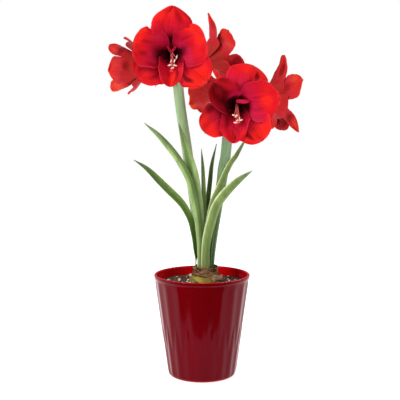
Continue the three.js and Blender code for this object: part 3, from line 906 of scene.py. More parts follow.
@dataclass
class FlutedPot:
    """Thin tapered pot with two bands of flutes that meet in pointed arches, and a rolled rim.

    Attributes:
        height: Height of the rim.
        rim_radius: Outer radius of the rim.
        foot_radius: Radius of the wall at the base.
        taper: Growth of the wall's radius with height.
        wall: Thickness of the wall.
        floor: Thickness of the floor.
        foot_round: Size of the rounding at the base.
        lip_height: Height of the rim's band.
        lip_width: Width of the rim's top.
        lip_round: Size of the rounding on the rim's outer edge.
        flutes: Flutes round each band.
        flute_depth: Half the height of the relief.
        cross_height: Height where the bands meet.
        cross_blend: Half the height over which they change.
        upper_turn: Angle of an upper ridge from the front, in degrees.
        lower_turn: Angle of a lower ridge from the front, in degrees.
        sides: Faces round the wall.
        rows: Faces up the wall.
    """

    height: float = 182 * MM
    rim_radius: float = 85 * MM
    foot_radius: float = 59.8 * MM
    taper: float = 0.136
    wall: float = 2.4 * MM
    floor: float = 4 * MM
    foot_round: float = 7 * MM
    lip_height: float = 5.5 * MM
    lip_width: float = 4 * MM
    lip_round: float = 1.3 * MM
    flutes: int = 20
    flute_depth: float = 0.62 * MM
    cross_height: float = 76 * MM
    cross_blend: float = 14 * MM
    upper_turn: float = 6.0
    lower_turn: float = 15.0
    sides: int = 320
    rows: int = 84

    def radius(self, height: float) -> float:
        """Radius of the plain wall at a height."""
        return self.foot_radius + self.taper * height

    def relief(self, height: float, angle: float) -> float:
        """Relief of the flutes at a height and angle: rounded ridges between shallow hollows.

        Args:
            height: Height on the wall.
            angle: Angle in radians.

        Returns:
            The relief, outwards.
        """
        front = degrees(angle) + 90.0

        def ridge(turn: float) -> float:
            """Height of one band's ridges, crisper at the crest than in the hollow."""
            wave = cos(radians((front - turn) * self.flutes))
            return wave * 0.75 + 0.25 * (2.0 * ((wave + 1) / 2) ** 3 - 1)

        upper = ridge(self.upper_turn)
        lower = ridge(self.lower_turn)
        rise = (height - self.cross_height) / self.cross_blend
        meet = smooth(rise + 0.55 * (upper - lower), -1.0, 1.0)
        top = self.height - self.lip_height - 2 * MM
        fade = smooth(height, 0.0, 2 * self.foot_round)
        fade *= 1.0 - 0.7 * smooth(height, self.height - 18 * MM, top)
        return self.flute_depth * fade * lerp(lower, upper, meet)

    def lining(self, place: Vector) -> float:
        """Share of painted light at a place: 1 on the inner side and on top of the rim.

        Args:
            place: The place.

        Returns:
            The share of the painted light's colour.
        """
        out = hypot(place.x, place.y)
        inner = out < self.radius(place.z) - self.wall / 2 and place.z > self.floor / 2
        return 1.0 if inner or place.z > self.height - 0.7 * MM else 0.0

    def profile(self) -> list[tuple[float, float]]:
        """Rings of the pot, from the base's centre round the rim to the floor's centre.

        Returns:
            Radius and height of each ring.
        """
        lip = self.height - self.lip_height
        base = self.radius(0.0) - self.foot_round
        rings = [(0.0, 0.0), (base * 0.5, 0.0), (base, 0.0)]
        for step in range(1, 7):
            turn = radians(90 * step / 6)
            out = base + (self.radius(self.foot_round) - base) * sin(turn)
            rings.append((out, self.foot_round * (1 - cos(turn))))
        wall_top = lip - 1.4 * MM
        for step in range(1, self.rows + 1):
            z = lerp(self.foot_round, wall_top, step / self.rows)
            rings.append((self.radius(z), z))
        edge = self.lip_round
        rings += [(self.radius(lip) + 0.5 * MM, lip - 0.7 * MM), (self.rim_radius - 0.4 * MM, lip),
                  (self.rim_radius, lip + 0.8 * MM), (self.rim_radius, self.height - edge)]
        for step in range(1, 5):
            turn = radians(90 * step / 4)
            rings.append((self.rim_radius - edge * (1 - cos(turn)),
                          self.height - edge * (1 - sin(turn))))
        inner = self.rim_radius - self.lip_width
        rings += [(inner + 0.8 * MM, self.height), (inner + 0.2 * MM, self.height - 0.4 * MM),
                  (inner - 0.3 * MM, self.height - 1.6 * MM)]
        top = self.height - 8 * MM
        for step in range(13):
            z = lerp(top, self.floor + 3 * MM, step / 12)
            rings.append((self.radius(z) - self.wall, z))
        rings += [(self.radius(self.floor) - self.wall - 3 * MM, self.floor),
                  (self.radius(self.floor) * 0.5, self.floor), (0.0, self.floor)]
        return rings

    def build(self) -> None:
        """Models the pot and gives it its gloss."""
        lip = self.height - self.lip_height

        def shape(radius: float, height: float, angle: float) -> Vector:
            """Point of the pot, with the flutes on the outside of the wall."""
            outside = radius > self.radius(height) - self.wall / 2 and 0 < height < lip - 1.0 * MM
            return polar(radius + (self.relief(height, angle) if outside else 0.0), angle, height)

        piece = turned("fluted_pot", self.profile(), self.sides, shape)
        # Marks where the painted light lies: the inner wall and the top of the rim.
        mark(piece, "lining", [self.lining(vertex.co) for vertex in piece.data.vertices])
        dressed(piece, "pot", GlossFinish().material())
        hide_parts("pot")


# -------------------- potting mix


@dataclass
class PottingMix:
    """Potting mix mounded round the bulb, with white perlite and bits of bark on it.

    Attributes:
        pot: The pot that it fills.
        edge_height: Height of its top at the pot's wall.
        mound_height: Height of its top at the bulb.
        centre: Centre of the bulb.
        bulb_radius: Radius of the bulb where it leaves the mix.
        mound_reach: How far from the bulb the mound runs out.
        lumps: Height of its coarse lumps.
        perlite: How many white grains it has.
        bark: How many bits of bark it has.
    """

    pot: FlutedPot
    edge_height: float = 166 * MM
    mound_height: float = 171 * MM
    centre: tuple[float, float] = (6.5 * MM, 0.0)
    bulb_radius: float = 30 * MM
    mound_reach: float = 42 * MM
    lumps: float = 1.7 * MM
    perlite: int = 95
    bark: int = 330

    def top(self, x: float, y: float) -> float:
        """Height of the mix's top at a place.

        Args:
            x: Place along X.
            y: Place along Y.

        Returns:
            The height.
        """
        away = hypot(x - self.centre[0], y - self.centre[1])
        mound = lerp(self.mound_height, self.edge_height,
                     smooth(away, self.bulb_radius, self.bulb_radius + self.mound_reach))
        coarse = noise.noise(Vector((x, y, 0.0)) * 70)
        fine = noise.noise(Vector((x, y, 0.3)) * 260)
        return mound + self.lumps * (0.8 * coarse + 0.7 * fine)

    def build(self) -> None:
        """Models the mix and its grains."""
        inside = self.pot.radius(self.edge_height) - self.pot.wall - 0.5 * MM
        floor = self.pot.floor + 0.3 * MM
        foot = self.pot.radius(floor) - self.pot.wall - 3.2 * MM
        rings = 52
        profile = [(inside * step / rings, self.edge_height) for step in range(rings + 1)]
        profile += [(inside - 1.2 * MM, self.edge_height - 6 * MM), (foot, floor + 1 * MM), (0.0, floor)]

        def shape(radius: float, height: float, angle: float) -> Vector:
            """Point of the mix, lumpy on top."""
            x, y, _ = polar(radius, angle, height)
            return Vector((x, y, self.top(x, y) if height == self.edge_height else height))

        ground = turned("potting_mix", profile, 200, shape)
        dark, mid = tint(38, 27, 22), tint(74, 56, 46)
        peat = GrainFinish("moist_peat", dark, mid, tint(122, 100, 86), 420.0, 1.2 * MM)
        dressed(ground, "soil", peat.material())
        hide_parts("soil")
        perlite = GrainFinish("white_perlite", tint(176, 170, 158), tint(226, 221, 208),
                              tint(250, 248, 240), 700.0, 0.5 * MM)
        bark = GrainFinish("pine_bark", tint(44, 30, 22), tint(92, 66, 50),
                           tint(140, 108, 84), 500.0, 0.6 * MM)
        self.scatter("perlite_grains", self.perlite, seed=5, sizes=(1.0 * MM, 2.3 * MM),
                     flatness=(0.7, 1.0), finish=perlite)
        self.scatter("bark_bits", self.bark, seed=9, sizes=(1.0 * MM, 3.0 * MM),
                     flatness=(0.3, 0.7), finish=bark)

    def scatter(self, name: str, count: int, seed: int, sizes: tuple[float, float],
                flatness: tuple[float, float], finish: GrainFinish) -> None:
        """Lays irregular grains on the mix.

        Args:
            name: Name of the joined piece.
            count: How many grains.
            seed: Start of its random draws.
            sizes: Smallest and largest radius.
            flatness: Least and greatest height as a share of the radius.
            finish: Their finish.
        """
        draw = random.Random(seed)
        deselect()
        bpy.ops.mesh.primitive_ico_sphere_add(subdivisions=2, radius=1.0)
        model = bpy.context.active_object
        grains = []
        reach = self.pot.radius(self.edge_height) - self.pot.wall - 3 * MM
        while len(grains) < count:
            away = reach * sqrt(draw.random())
            place = compass(draw.uniform(0, 360)) * away
            if (place.xy - Vector(self.centre)).length < self.bulb_radius + 1.5 * MM:
                continue
            grain = model.copy()
            grain.data = model.data.copy()
            bpy.context.collection.objects.link(grain)
            size = lerp(*sizes, draw.random() ** 2)
            stretch = Vector((size * draw.uniform(0.8, 1.35), size, size * draw.uniform(*flatness)))
            turn = Matrix.Rotation(draw.uniform(0, tau), 3, "Z") @ Matrix.Rotation(
                draw.uniform(-0.5, 0.5), 3, "X")
            phase = Vector((draw.random(), draw.random(), draw.random())) * 50
            ground = Vector((place.x, place.y, self.top(place.x, place.y) + stretch.z * 0.35))
            for vertex in grain.data.vertices:
                rough = 1.0 + 0.55 * noise.noise(vertex.co * 1.3 + phase)
                point = Vector(a * b for a, b in zip(vertex.co * rough, stretch))
                vertex.co = turn @ point + ground
            grains.append(grain)
        bpy.data.objects.remove(model)
        dressed(joined(name, grains), "soil", finish.material())


# -------------------- bulb


@dataclass(frozen=True)
class TunicStrip:
    """Torn strip of dry skin that winds round the bulb's neck.

    Attributes:
        radius: Radius at its foot, in millimetres.
        low: Height of its lower edge, in millimetres.
        high: Height of its upper edge, in millimetres.
        start: Compass angle where it starts, in degrees.
        sweep: Angle that it winds through, in degrees.
        flare: How far its upper edge stands out, in millimetres.
    """

    radius: float
    low: float
    high: float
    start: float
    sweep: float
    flare: float

    def model(self, number: int, middle: Vector) -> Piece:
        """Models the strip.

        Args:
            number: Its place in the neck, which changes its folds.
            middle: The bulb's axis.

        Returns:
            The strip, without its thickness.
        """
        def place(along: float, across: float) -> Vector:
            """Point of the strip.

            Args:
                along: Share of its height.
                across: From -1 at its start to 1 at its end.

            Returns:
                The point.
            """
            angle = radians(self.start + self.sweep * (across + 1) / 2)
            round_it = Vector((cos(angle), sin(angle), 0.37 * number))
            torn = 2.6 * noise.noise(round_it * 2.6) + 1.3 * noise.noise(round_it * 9)
            sagging = 1.6 * noise.noise(round_it * 1.7 + UP * 4)
            z = lerp(self.low + 0.4 * torn, self.high + torn, along) + sagging
            fold = 0.9 * sin(7 * angle + 2.1 * number + 5 * along) * (0.3 + along)
            crease = 0.5 * noise.noise(Vector((angle * 3, along * 3, number)))
            out = self.radius + self.flare * along ** 2 + fold + crease
            return middle + polar(out, angle, z) * MM

        return sheet(f"tunic_{number}", 10, 110, place)


TUNIC_STRIPS = (
    TunicStrip(20.9, 178.5, 190.5, start=200, sweep=345, flare=1.0),
    TunicStrip(21.5, 177.0, 187.0, start=20, sweep=330, flare=1.4),
    TunicStrip(22.3, 175.5, 184.0, start=150, sweep=300, flare=1.8),
    TunicStrip(20.6, 186.0, 196.5, start=60, sweep=350, flare=0.8),
    TunicStrip(21.3, 184.0, 193.5, start=250, sweep=240, flare=1.3),
)


@dataclass
class Bulb:
    """Bulb half sunk in the mix, with torn papery tunics round its neck and roots below.

    Attributes:
        centre: Its centre.
        radius: Its greatest radius.
        base_height: Height of its base plate.
        outline: Share of the radius and height above the base, up to the collar.
        neck_radius: Radius of its neck.
        collar_height: Height where the neck starts.
        neck_height: Height of the neck's top.
        crater_radius: Radius of the hollow that the leaves stand in.
        crater_floor: Height of that hollow's floor.
        roots: How many roots it has.
    """

    centre: tuple[float, float] = (6.5 * MM, 0.0)
    radius: float = 38 * MM
    base_height: float = 100 * MM
    outline: tuple[tuple[float, float], ...] = (
        (0.4, 0.0), (0.6, 4.0), (0.78, 11.0), (0.9, 18.0), (0.97, 26.0), (1.0, 40.0), (0.985, 48.0),
        (0.95, 56.0), (0.89, 64.0), (0.82, 70.0), (0.74, 74.5), (0.66, 78.0))
    neck_radius: float = 20.6 * MM
    collar_height: float = 181 * MM
    neck_height: float = 194 * MM
    crater_radius: float = 17.5 * MM
    crater_floor: float = 172 * MM
    roots: int = 5

    def build(self) -> None:
        """Models the bulb, its tunics, its roots and a young offset's shoot."""
        middle = Vector((*self.centre, 0.0))
        neck, collar, top = self.neck_radius, self.collar_height, self.neck_height
        crater = self.crater_radius
        profile = [(0.0, self.base_height)]
        profile += [(share * self.radius, self.base_height + above * MM) for share, above in self.outline]
        profile += [(neck * 1.06, collar), (neck, collar + 3 * MM), (neck * 0.99, collar + 8 * MM),
                    (neck * 0.97, top - 1.5 * MM), (neck * 0.93, top), (crater, top - 0.8 * MM),
                    (crater * 0.97, self.crater_floor), (0.0, self.crater_floor)]

        def shape(radius: float, height: float, angle: float) -> Vector:
            """Point of the bulb, faintly ribbed outside its crater.

            Args:
                radius: Radius of the plain shape there.
                height: Height in metres.
                angle: Angle in radians.

            Returns:
                The point.
            """
            uneven = noise.noise(Vector((cos(angle), sin(angle), height * 30)) * 2)
            ribs = (0.35 * sin(13 * angle) + 0.5 * uneven) * MM
            return middle + polar(radius + (ribs if radius > crater else 0.0), angle, height)

        flesh = turned("bulb_flesh", profile, 120, shape)
        roots = [self.root(k) for k in range(self.roots)]
        flesh = joined("bulb_flesh", [flesh, *roots])
        skin = PaperFinish("olive_bulb_scale", tint(176, 160, 62), tint(128, 116, 44), tint(120, 92, 46))
        dressed(flesh, "bulb", skin.material())
        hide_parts("bulb")
        self.tunics(middle)
        self.offset_shoot()

    def root(self, number: int) -> Piece:
        """One fleshy root that spreads and sinks.

        Args:
            number: Its place round the base plate.

        Returns:
            The root.
        """
        outward = compass(360 * (number + 0.3) / self.roots)

        def at(out: float, above: float) -> Vector:
            """Point of the root's course."""
            return Vector((*self.centre, self.base_height + above * MM)) + outward * (out * MM)

        first, bend, last = at(7, 4), at(21, -8), at(30, -52)
        path = Bezier([first, first.lerp(bend, 2 / 3), last.lerp(bend, 2 / 3), last])
        return tube("root", path, lambda share: 2.1 * MM * (1 - 0.5 * share), 20, 10)

    def tunics(self, middle: Vector) -> None:
        """Dry layers round the neck: each a torn strip that winds round it.

        Args:
            middle: The bulb's axis.
        """
        papery = PaperFinish("papery_tunic", tint(170, 128, 88), tint(88, 58, 36), tint(52, 32, 24))
        inner = PaperFinish("tunic_lining", tint(160, 126, 92), tint(108, 74, 50), tint(64, 40, 28))
        strips = [strip.model(number, middle) for number, strip in enumerate(TUNIC_STRIPS)]
        strips.append(self.flap(middle))
        outer, lining = papery.material(), inner.material()
        for strip in strips:
            thicken(strip, 0.35 * MM, outer, lining)
        dressed(joined("neck_tunics", strips), "bulb")

    def flap(self, middle: Vector) -> Piece:
        """Loose flap of tunic that has peeled off the shoulder on the right.

        Args:
            middle: The bulb's axis.

        Returns:
            The flap, without its thickness.
        """
        def place(along: float, across: float) -> Vector:
            """Point of the flap, which leaves the shoulder and droops outwards.

            Args:
                along: Share of the length.
                across: From -1 to 1 across it.

            Returns:
                The point.
            """
            angle = radians(-48 + 27 * across + 8 * along)
            out = lerp(23.0, 33.5, along) * MM + 0.8 * MM * sin(5 * across + 6 * along)
            z = (182.5 - 3.5 * along - 4.5 * along ** 3) * MM + 1.1 * MM * sin(4 * across + 2)
            return middle + polar(out, angle, z)

        return sheet("tunic_flap", 14, 30, place)

    def offset_shoot(self) -> None:
        """Small green shoot of a young offset, left of the neck."""
        foot = millimetres((-13.5, -26.0, 170.0))
        tip = millimetres((-15.5, -29.0, 180.5))
        path = Path([foot, foot.lerp(tip, 0.5) + millimetres((0.6, -0.8, 0.0)), tip])
        shoot = tube("offset_shoot", path, lambda share: (3.0 * (1 - share) ** 0.6 + 0.15) * MM, 18, 16)
        green = StemFinish("young_green", ((0.168, tint(180, 196, 120)), (0.182, tint(60, 120, 40))))
        dressed(shoot, "leaf", green.material())


# -------------------- leaves


class LeafLightAndShade(Enum):
    """Colours of a leaf from its left margin to its right one as it is seen from the front: painted
    highlights on lit margins and bands, painted shade on the side turned from the light.
    """

    FRESH = ((0.0, tint(140, 168, 90)), (0.1, tint(96, 128, 44)), (0.45, tint(68, 104, 22)),
             (0.85, tint(56, 90, 14)), (1.0, tint(110, 140, 64)))
    SHADED = ((0.0, tint(204, 220, 168)), (0.08, tint(150, 178, 110)), (0.45, tint(138, 166, 98)),
              (0.6, tint(84, 112, 40)), (1.0, tint(44, 66, 14)))
    BANDED = ((0.0, tint(200, 216, 170)), (0.1, tint(120, 150, 80)), (0.3, tint(80, 114, 34)),
              (0.5, tint(98, 132, 54)), (0.66, tint(150, 178, 112)), (1.0, tint(152, 174, 114)))
    PALE = ((0.0, tint(150, 174, 112)), (0.35, tint(138, 166, 98)), (0.7, tint(118, 148, 76)),
            (1.0, tint(56, 78, 28)))
    DEEP = ((0.0, tint(78, 102, 34)), (0.4, tint(54, 78, 14)), (0.8, tint(64, 88, 26)),
            (1.0, tint(130, 150, 94)))
    OLIVE = ((0.0, tint(220, 232, 180)), (0.1, tint(192, 208, 142)), (0.2, tint(124, 146, 72)),
             (0.7, tint(104, 126, 56)), (1.0, tint(130, 150, 90)))


@dataclass
class Leaf:
    """Strap leaf: channelled, narrow at its foot and long-pointed at its tip.

    Attributes:
        number: Its number in the part.
        midline: Its middle line, in millimetres.
        width: Greatest width, in millimetres.
        foot: Width at its foot, in millimetres.
        faces: Compass angle that the outer side of its foot looks to.
        channel: Depth of the channel as a share of the width.
        twist: Turn of the blade along its length, in degrees.
        tip: Share of the length over which it narrows.
        tone: Its colours, with painted light and shade across it.
        twist_over: Shares of the length where the turn starts and ends.
        thickness: Thickness of the blade, in millimetres.
        rows: Faces along it.
        columns: Faces across it.
    """

    number: int
    midline: tuple[Point, ...]
    width: float
    foot: float
    faces: float
    channel: float
    twist: float
    tip: float
    tone: LeafLightAndShade
    twist_over: tuple[float, float] = (0.1, 0.6)
    thickness: float = 1.1
    rows: int = 110
    columns: int = 14

    def build(self) -> None:
        """Models the leaf and gives it its bands."""
        path = Path([millimetres(point) for point in self.midline])
        walk = Walk(path, compass(self.faces + 180), 120)

        def place(along: float, across: float) -> Vector:
            """Point of the blade, with a raised keel under a soft channel.

            Args:
                along: Share of the length.
                across: From -1 to 1 across it.

            Returns:
                The point.
            """
            point, direction, side = walk.at(along)
            twist = radians(self.twist * smooth(along, *self.twist_over))
            upper = Matrix.Rotation(twist, 3, direction) @ side
            level = direction.cross(upper)
            swell = lerp(self.foot, self.width, smooth(along, 0.1, 0.5)) * MM / 2
            near_tip = max((along - 1 + self.tip) / self.tip, 0.0)
            half = max(swell * (1 - near_tip ** 3.4), 0.35 * MM)
            depth = self.channel * 2 * half * lerp(1.0, 0.7, along)
            wave = 0.5 * MM * sin(9 * along + self.number) * across * smooth(along, 0.2, 0.5)
            return point + level * (across * half) + upper * (depth * across * across + wave)

        blade = sheet(f"strap_leaf_{self.number}", self.rows, self.columns, place)
        upper = BladeFinish(f"leaf_{self.number}_face", self.tone.value,
                            foot=tint(100, 130, 50), tip=tint(66, 90, 38))
        lower = BladeFinish(f"leaf_{self.number}_back", self.tone.value,
                            foot=tint(128, 152, 78), tip=tint(80, 104, 54))
        thicken(blade, self.thickness * MM, upper.material(), lower.material())
        dressed(blade, "leaf")
        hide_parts(f"leaf_{self.number}")


LEAVES = (
    Leaf(1, ((-11, 0, 169), (-11.4, -1, 196), (-11.2, -4, 215), (-13, -6, 240), (-15.6, -8.5, 258),
             (-20, -11.5, 279), (-27.6, -16, 297), (-38.6, -21.5, 314), (-64.4, -30, 341),
             (-94, -40, 372), (-116, -46, 388)),
         width=15, foot=8.6, faces=194, channel=0.12, twist=-59, tip=0.5, tone=LeafLightAndShade.FRESH,
         twist_over=(0.08, 0.24)),
    Leaf(2, ((-4.4, -11, 169), (-4.6, -12.6, 200), (-5, -16.5, 245), (-7.6, -19.5, 282),
             (-12.4, -21.5, 312), (-22, -22, 350), (-41, -19, 386), (-72, -4, 424), (-101, 10, 449)),
         width=14.5, foot=7.6, faces=250, channel=0.16, twist=0, tip=0.5, tone=LeafLightAndShade.SHADED),
    Leaf(3, ((-1.6, -6.6, 169), (-1.8, -7.4, 200), (-3, -9.6, 245), (-5, -12, 285), (-8.6, -13.4, 316),
             (-14, -14, 354), (-22, -15, 386), (-31, -16.5, 419), (-40, -18, 449)),
         width=19, foot=9.6, faces=264, channel=0.12, twist=0, tip=0.55, tone=LeafLightAndShade.BANDED),
    Leaf(4, ((0.2, 14.4, 169), (0.8, 14.8, 200), (3, 16.5, 245), (3.6, 20, 300), (2, 25, 362),
             (-1, 27, 403)),
         width=8, foot=6.2, faces=96, channel=0.16, twist=0, tip=0.5, tone=LeafLightAndShade.PALE),
    Leaf(5, ((7.6, 15.9, 169), (7.4, 16.6, 200), (6.4, 19.5, 245), (8.6, 24, 292), (14, 30, 340),
             (18, 34.5, 376), (26, 38, 411)),
         width=8.4, foot=6.2, faces=90, channel=0.16, twist=0, tip=0.5, tone=LeafLightAndShade.DEEP),
    Leaf(6, ((14.8, 14.2, 169), (15.4, 14.6, 200), (18, 18, 245), (22.5, 24, 292), (28, 26.5, 338),
             (32, 28, 374), (39, 30, 408)),
         width=7.4, foot=6.2, faces=84, channel=0.16, twist=40, tip=0.5, tone=LeafLightAndShade.DEEP),
    Leaf(7, ((4.2, -15.6, 169), (4.6, -16.6, 200), (6.4, -18.5, 228), (9.4, -20, 250), (16, -24, 278),
             (27, -30, 310), (45, -38, 335), (64, -46, 354), (85, -54, 370)),
         width=17, foot=12.4, faces=270, channel=0.16, twist=12, tip=0.45, tone=LeafLightAndShade.OLIVE),
    Leaf(8, ((10.2, -6.6, 169), (9.6, -7.4, 200), (9, -10, 235), (12, -13, 277), (20, -16.5, 315),
             (33, -16.5, 345), (48, -11, 377), (60, -3, 393), (72, 6, 413), (81, 14, 426)),
         width=10.4, foot=9, faces=282, channel=0.16, twist=-12, tip=0.5, tone=LeafLightAndShade.OLIVE),
)


# -------------------- blooms


@dataclass(frozen=True)
class Patch:
    """Soft patch of one tone on a tepal: painted light, painted shade, magenta with painted sheen, or
    dark throat.

    Attributes:
        tone: The tone's name.
        along: Share of the length where it lies.
        across: Share of the half width where it lies, from -1 on the right to 1 on the left.
        length: How far it spreads along, as a share of the length.
        width: How far it spreads across, as a share of the half width.
        strength: How strong it is. Below 0 it takes the tone away.
    """

    tone: str
    along: float
    across: float
    length: float
    width: float
    strength: float

    def share(self, along: float, across: float) -> float:
        """Its strength at a place of the tepal."""
        away = hypot((along - self.along) / self.length, (across - self.across) / self.width)
        return self.strength * (1.0 - smooth(away, 0.25, 1.25))


def spots(**tones: Sequence[tuple[float, ...]]) -> tuple[Patch, ...]:
    """Patches of a tepal, as the numbers of each one listed by tone."""
    return tuple(Patch(tone, *numbers) for tone, rows in tones.items() for numbers in rows)


@dataclass(frozen=True)
class Tepal:
    """One tepal of a bloom. Left and right are seen from the throat towards its tip.

    Attributes:
        angle: Its place round the mouth in degrees, 0 to the right and 90 on top.
        reach: Reach of its tip from the axis, in millimetres.
        height: Height of its tip above the tube's foot, in millimetres.
        half_width: Greatest half width, in millimetres.
        left: How far its left margin folds towards the front, in millimetres.
        right: The same for its right margin.
        curl: How far its left and right margins roll back past those folds, in millimetres.
        drape: Depth of its soft hollows and swells, in millimetres.
        roll: Turn about its midrib, in degrees.
        nod: How far its tip bends forward, in millimetres.
        sway: Bend of its tip to the left, in millimetres.
        blunt: How pointed its end is, from 0.2 for a broad end to 1.
        widest: Share of the length where it is widest.
        skew: How much further its left margin reaches than its right one, in millimetres.
        wraps: Angles that its left and right halves take of the throat, in degrees.
        slits: How deep its left and right margins part from their neighbours in the throat.
        waves: Height of its ruffles, in millimetres.
        phase: Shift of its ruffles, in radians.
        warm: How much painted light, in orange, its left and right halves take.
        shade: How much painted shade its left and right halves take.
        rose: How much magenta lies in a ring outside the throat, partly its own colour and partly painted
            sheen.
        throat: Shares of the length where the dark throat, own colour with painted shade, ends at its
            left and right margins.
        fade: Share of the length over which it ends.
        margin: How strong the painted highlight along its thin margin is.
        patches: Soft patches of painted light, painted shade, magenta with painted sheen and dark throat
            on it.
        tip_width: Half width that its tip keeps, in millimetres.
    """

    angle: float
    reach: float
    height: float
    half_width: float
    left: float = 0.0
    right: float = 0.0
    curl: tuple[float, float] = (0.0, 0.0)
    drape: float = 5.0
    roll: float = 0.0
    nod: float = 0.0
    sway: float = 0.0
    blunt: float = 0.6
    widest: float = 0.74
    skew: float = 0.0
    wraps: tuple[float, float] = (64.0, 64.0)
    slits: tuple[float, float] = (0.0, 0.0)
    waves: float = 2.4
    phase: float = 0.0
    warm: tuple[float, float] = (0.25, 0.25)
    shade: tuple[float, float] = (0.1, 0.1)
    rose: float = 0.4
    throat: tuple[float, float] = (0.4, 0.4)
    fade: float = 0.16
    margin: float = 0.1
    patches: tuple[Patch, ...] = ()
    tip_width: float = 0.35

    def tones(self, along: float, across: float) -> dict[str, float]:
        """Shares of its five tones at a place.

        Args:
            along: Share of the length.
            across: Share of the half width, from -1 on its right to 1 on its left.

        Returns:
            The shares of the dark throat with its painted shade, magenta with painted sheen, orange
            painted light, painted shade and the painted highlight along the margin.
        """
        left = (across + 1) / 2
        end = lerp(self.throat[1], self.throat[0], left)
        past = end + self.fade
        ring = smooth(along, end, past) * (1 - smooth(along, past, past + 0.3))
        # Painted tones: throat darkness with painted shade, magenta with painted sheen, painted light,
        # painted shade and a painted margin highlight.
        shares = {
            "throat": 1 - smooth(along, end - self.fade, end + self.fade),
            "rose": self.rose * ring,
            "warm": lerp(self.warm[1], self.warm[0], left) * smooth(along, 0.4, 0.8),
            "shade": lerp(self.shade[1], self.shade[0], left) * smooth(along, 0.2, 0.5),
            "margin": self.margin * smooth(max(abs(across), 1.06 * along), 0.93, 1.0),
        }
        for patch in self.patches:
            shares[patch.tone] += patch.share(along, across)
        return {tone: clamp(share, 0.0, 1.0) for tone, share in shares.items()}

    def breadth(self, u: float, half: int, out: float) -> tuple[float, float]:
        """How broad a half of the tepal is at a share of its length.

        Args:
            u: Share of the length.
            half: 0 for its left half and 1 for its right one.
            out: Distance of its midrib from the axis, in millimetres.

        Returns:
            The share of its full breadth, and the half's breadth in millimetres.
        """
        widest = log(0.5) / log(self.widest)
        full = max(sin(pi * min(u, 1.0) ** widest), 0.0) ** self.blunt
        uneven = noise.noise(Vector((6.5 * u, 7.0 * half, self.phase)))
        crimp = noise.noise(Vector((17.0 * u, 7.0 * half, self.phase)))
        full *= 1 + 0.12 * uneven + 0.05 * crimp * smooth(u, 0.4, 0.6)
        wrapped = out * radians(self.wraps[half])
        breadth = max(self.half_width * full, wrapped * (1 - smooth(u, 0.45, 0.72)), self.tip_width)
        if self.slits[half]:
            parted = wrapped * (1 - self.slits[half] * max(1 - 2 * u, 0.0) ** 2)
            breadth = lerp(min(breadth, parted), breadth, smooth(u, 0.44, 0.62))
        return full, breadth

    def lift(self, u: float, across: float, calm: float) -> float:
        """Height of its ruffles, pleats, hollows, groove and nod over its plain surface.

        Args:
            u: Share of the length.
            across: Share of the half width, from -1 on its right to 1 on its left.
            calm: Share of the ruffles and hollows that stays.

        Returns:
            The height towards the front, in millimetres.
        """
        away = abs(across)
        waves = self.waves * min(self.half_width / 30, 1.0) * calm
        turn = 2.6 * tau * u + self.phase + (1.7 if across > 0 else 0.0)
        ruffle = waves * away ** 3 * sin(turn)
        frill = 0.2 * waves * away ** 6 * sin(8.5 * tau * u + 2.3 * self.phase)
        pleat = 0.6 * sin(2.6 * pi * across + self.phase) * (1 - 0.5 * u)
        groove = 0.9 * exp(-(across / 0.09) ** 2) * smooth(u, 0.2, 0.5)
        hollow = noise.noise(Vector((1.7 * across, 3.2 * u, self.phase + 9)))
        relief = ruffle + frill + pleat + calm * self.drape * hollow
        return relief * smooth(u, 0.35, 0.8) - groove + self.nod * smooth(u, 0.5, 1.0) ** 2

    def fold(self, u: float, across: float, full: float, breadth: float) -> float:
        """How far its folded margins and its roll bring it forward.

        Args:
            u: Share of the length.
            across: Share of the half width, from -1 on its right to 1 on its left.
            full: Share of its full breadth.
            breadth: Its half's breadth, in millimetres.

        Returns:
            The height towards the front, in millimetres.
        """
        half, margin = (0, self.left) if across > 0 else (1, self.right)
        fold = margin * abs(across) ** 1.5 - self.curl[half] * smooth(abs(across), 0.5, 1.0)
        roll = tan(radians(self.roll)) * across * breadth * smooth(u, 0.25, 0.7)
        return fold * min(full * 1.2, 1.0) * smooth(u, 0.3, 0.7) + roll


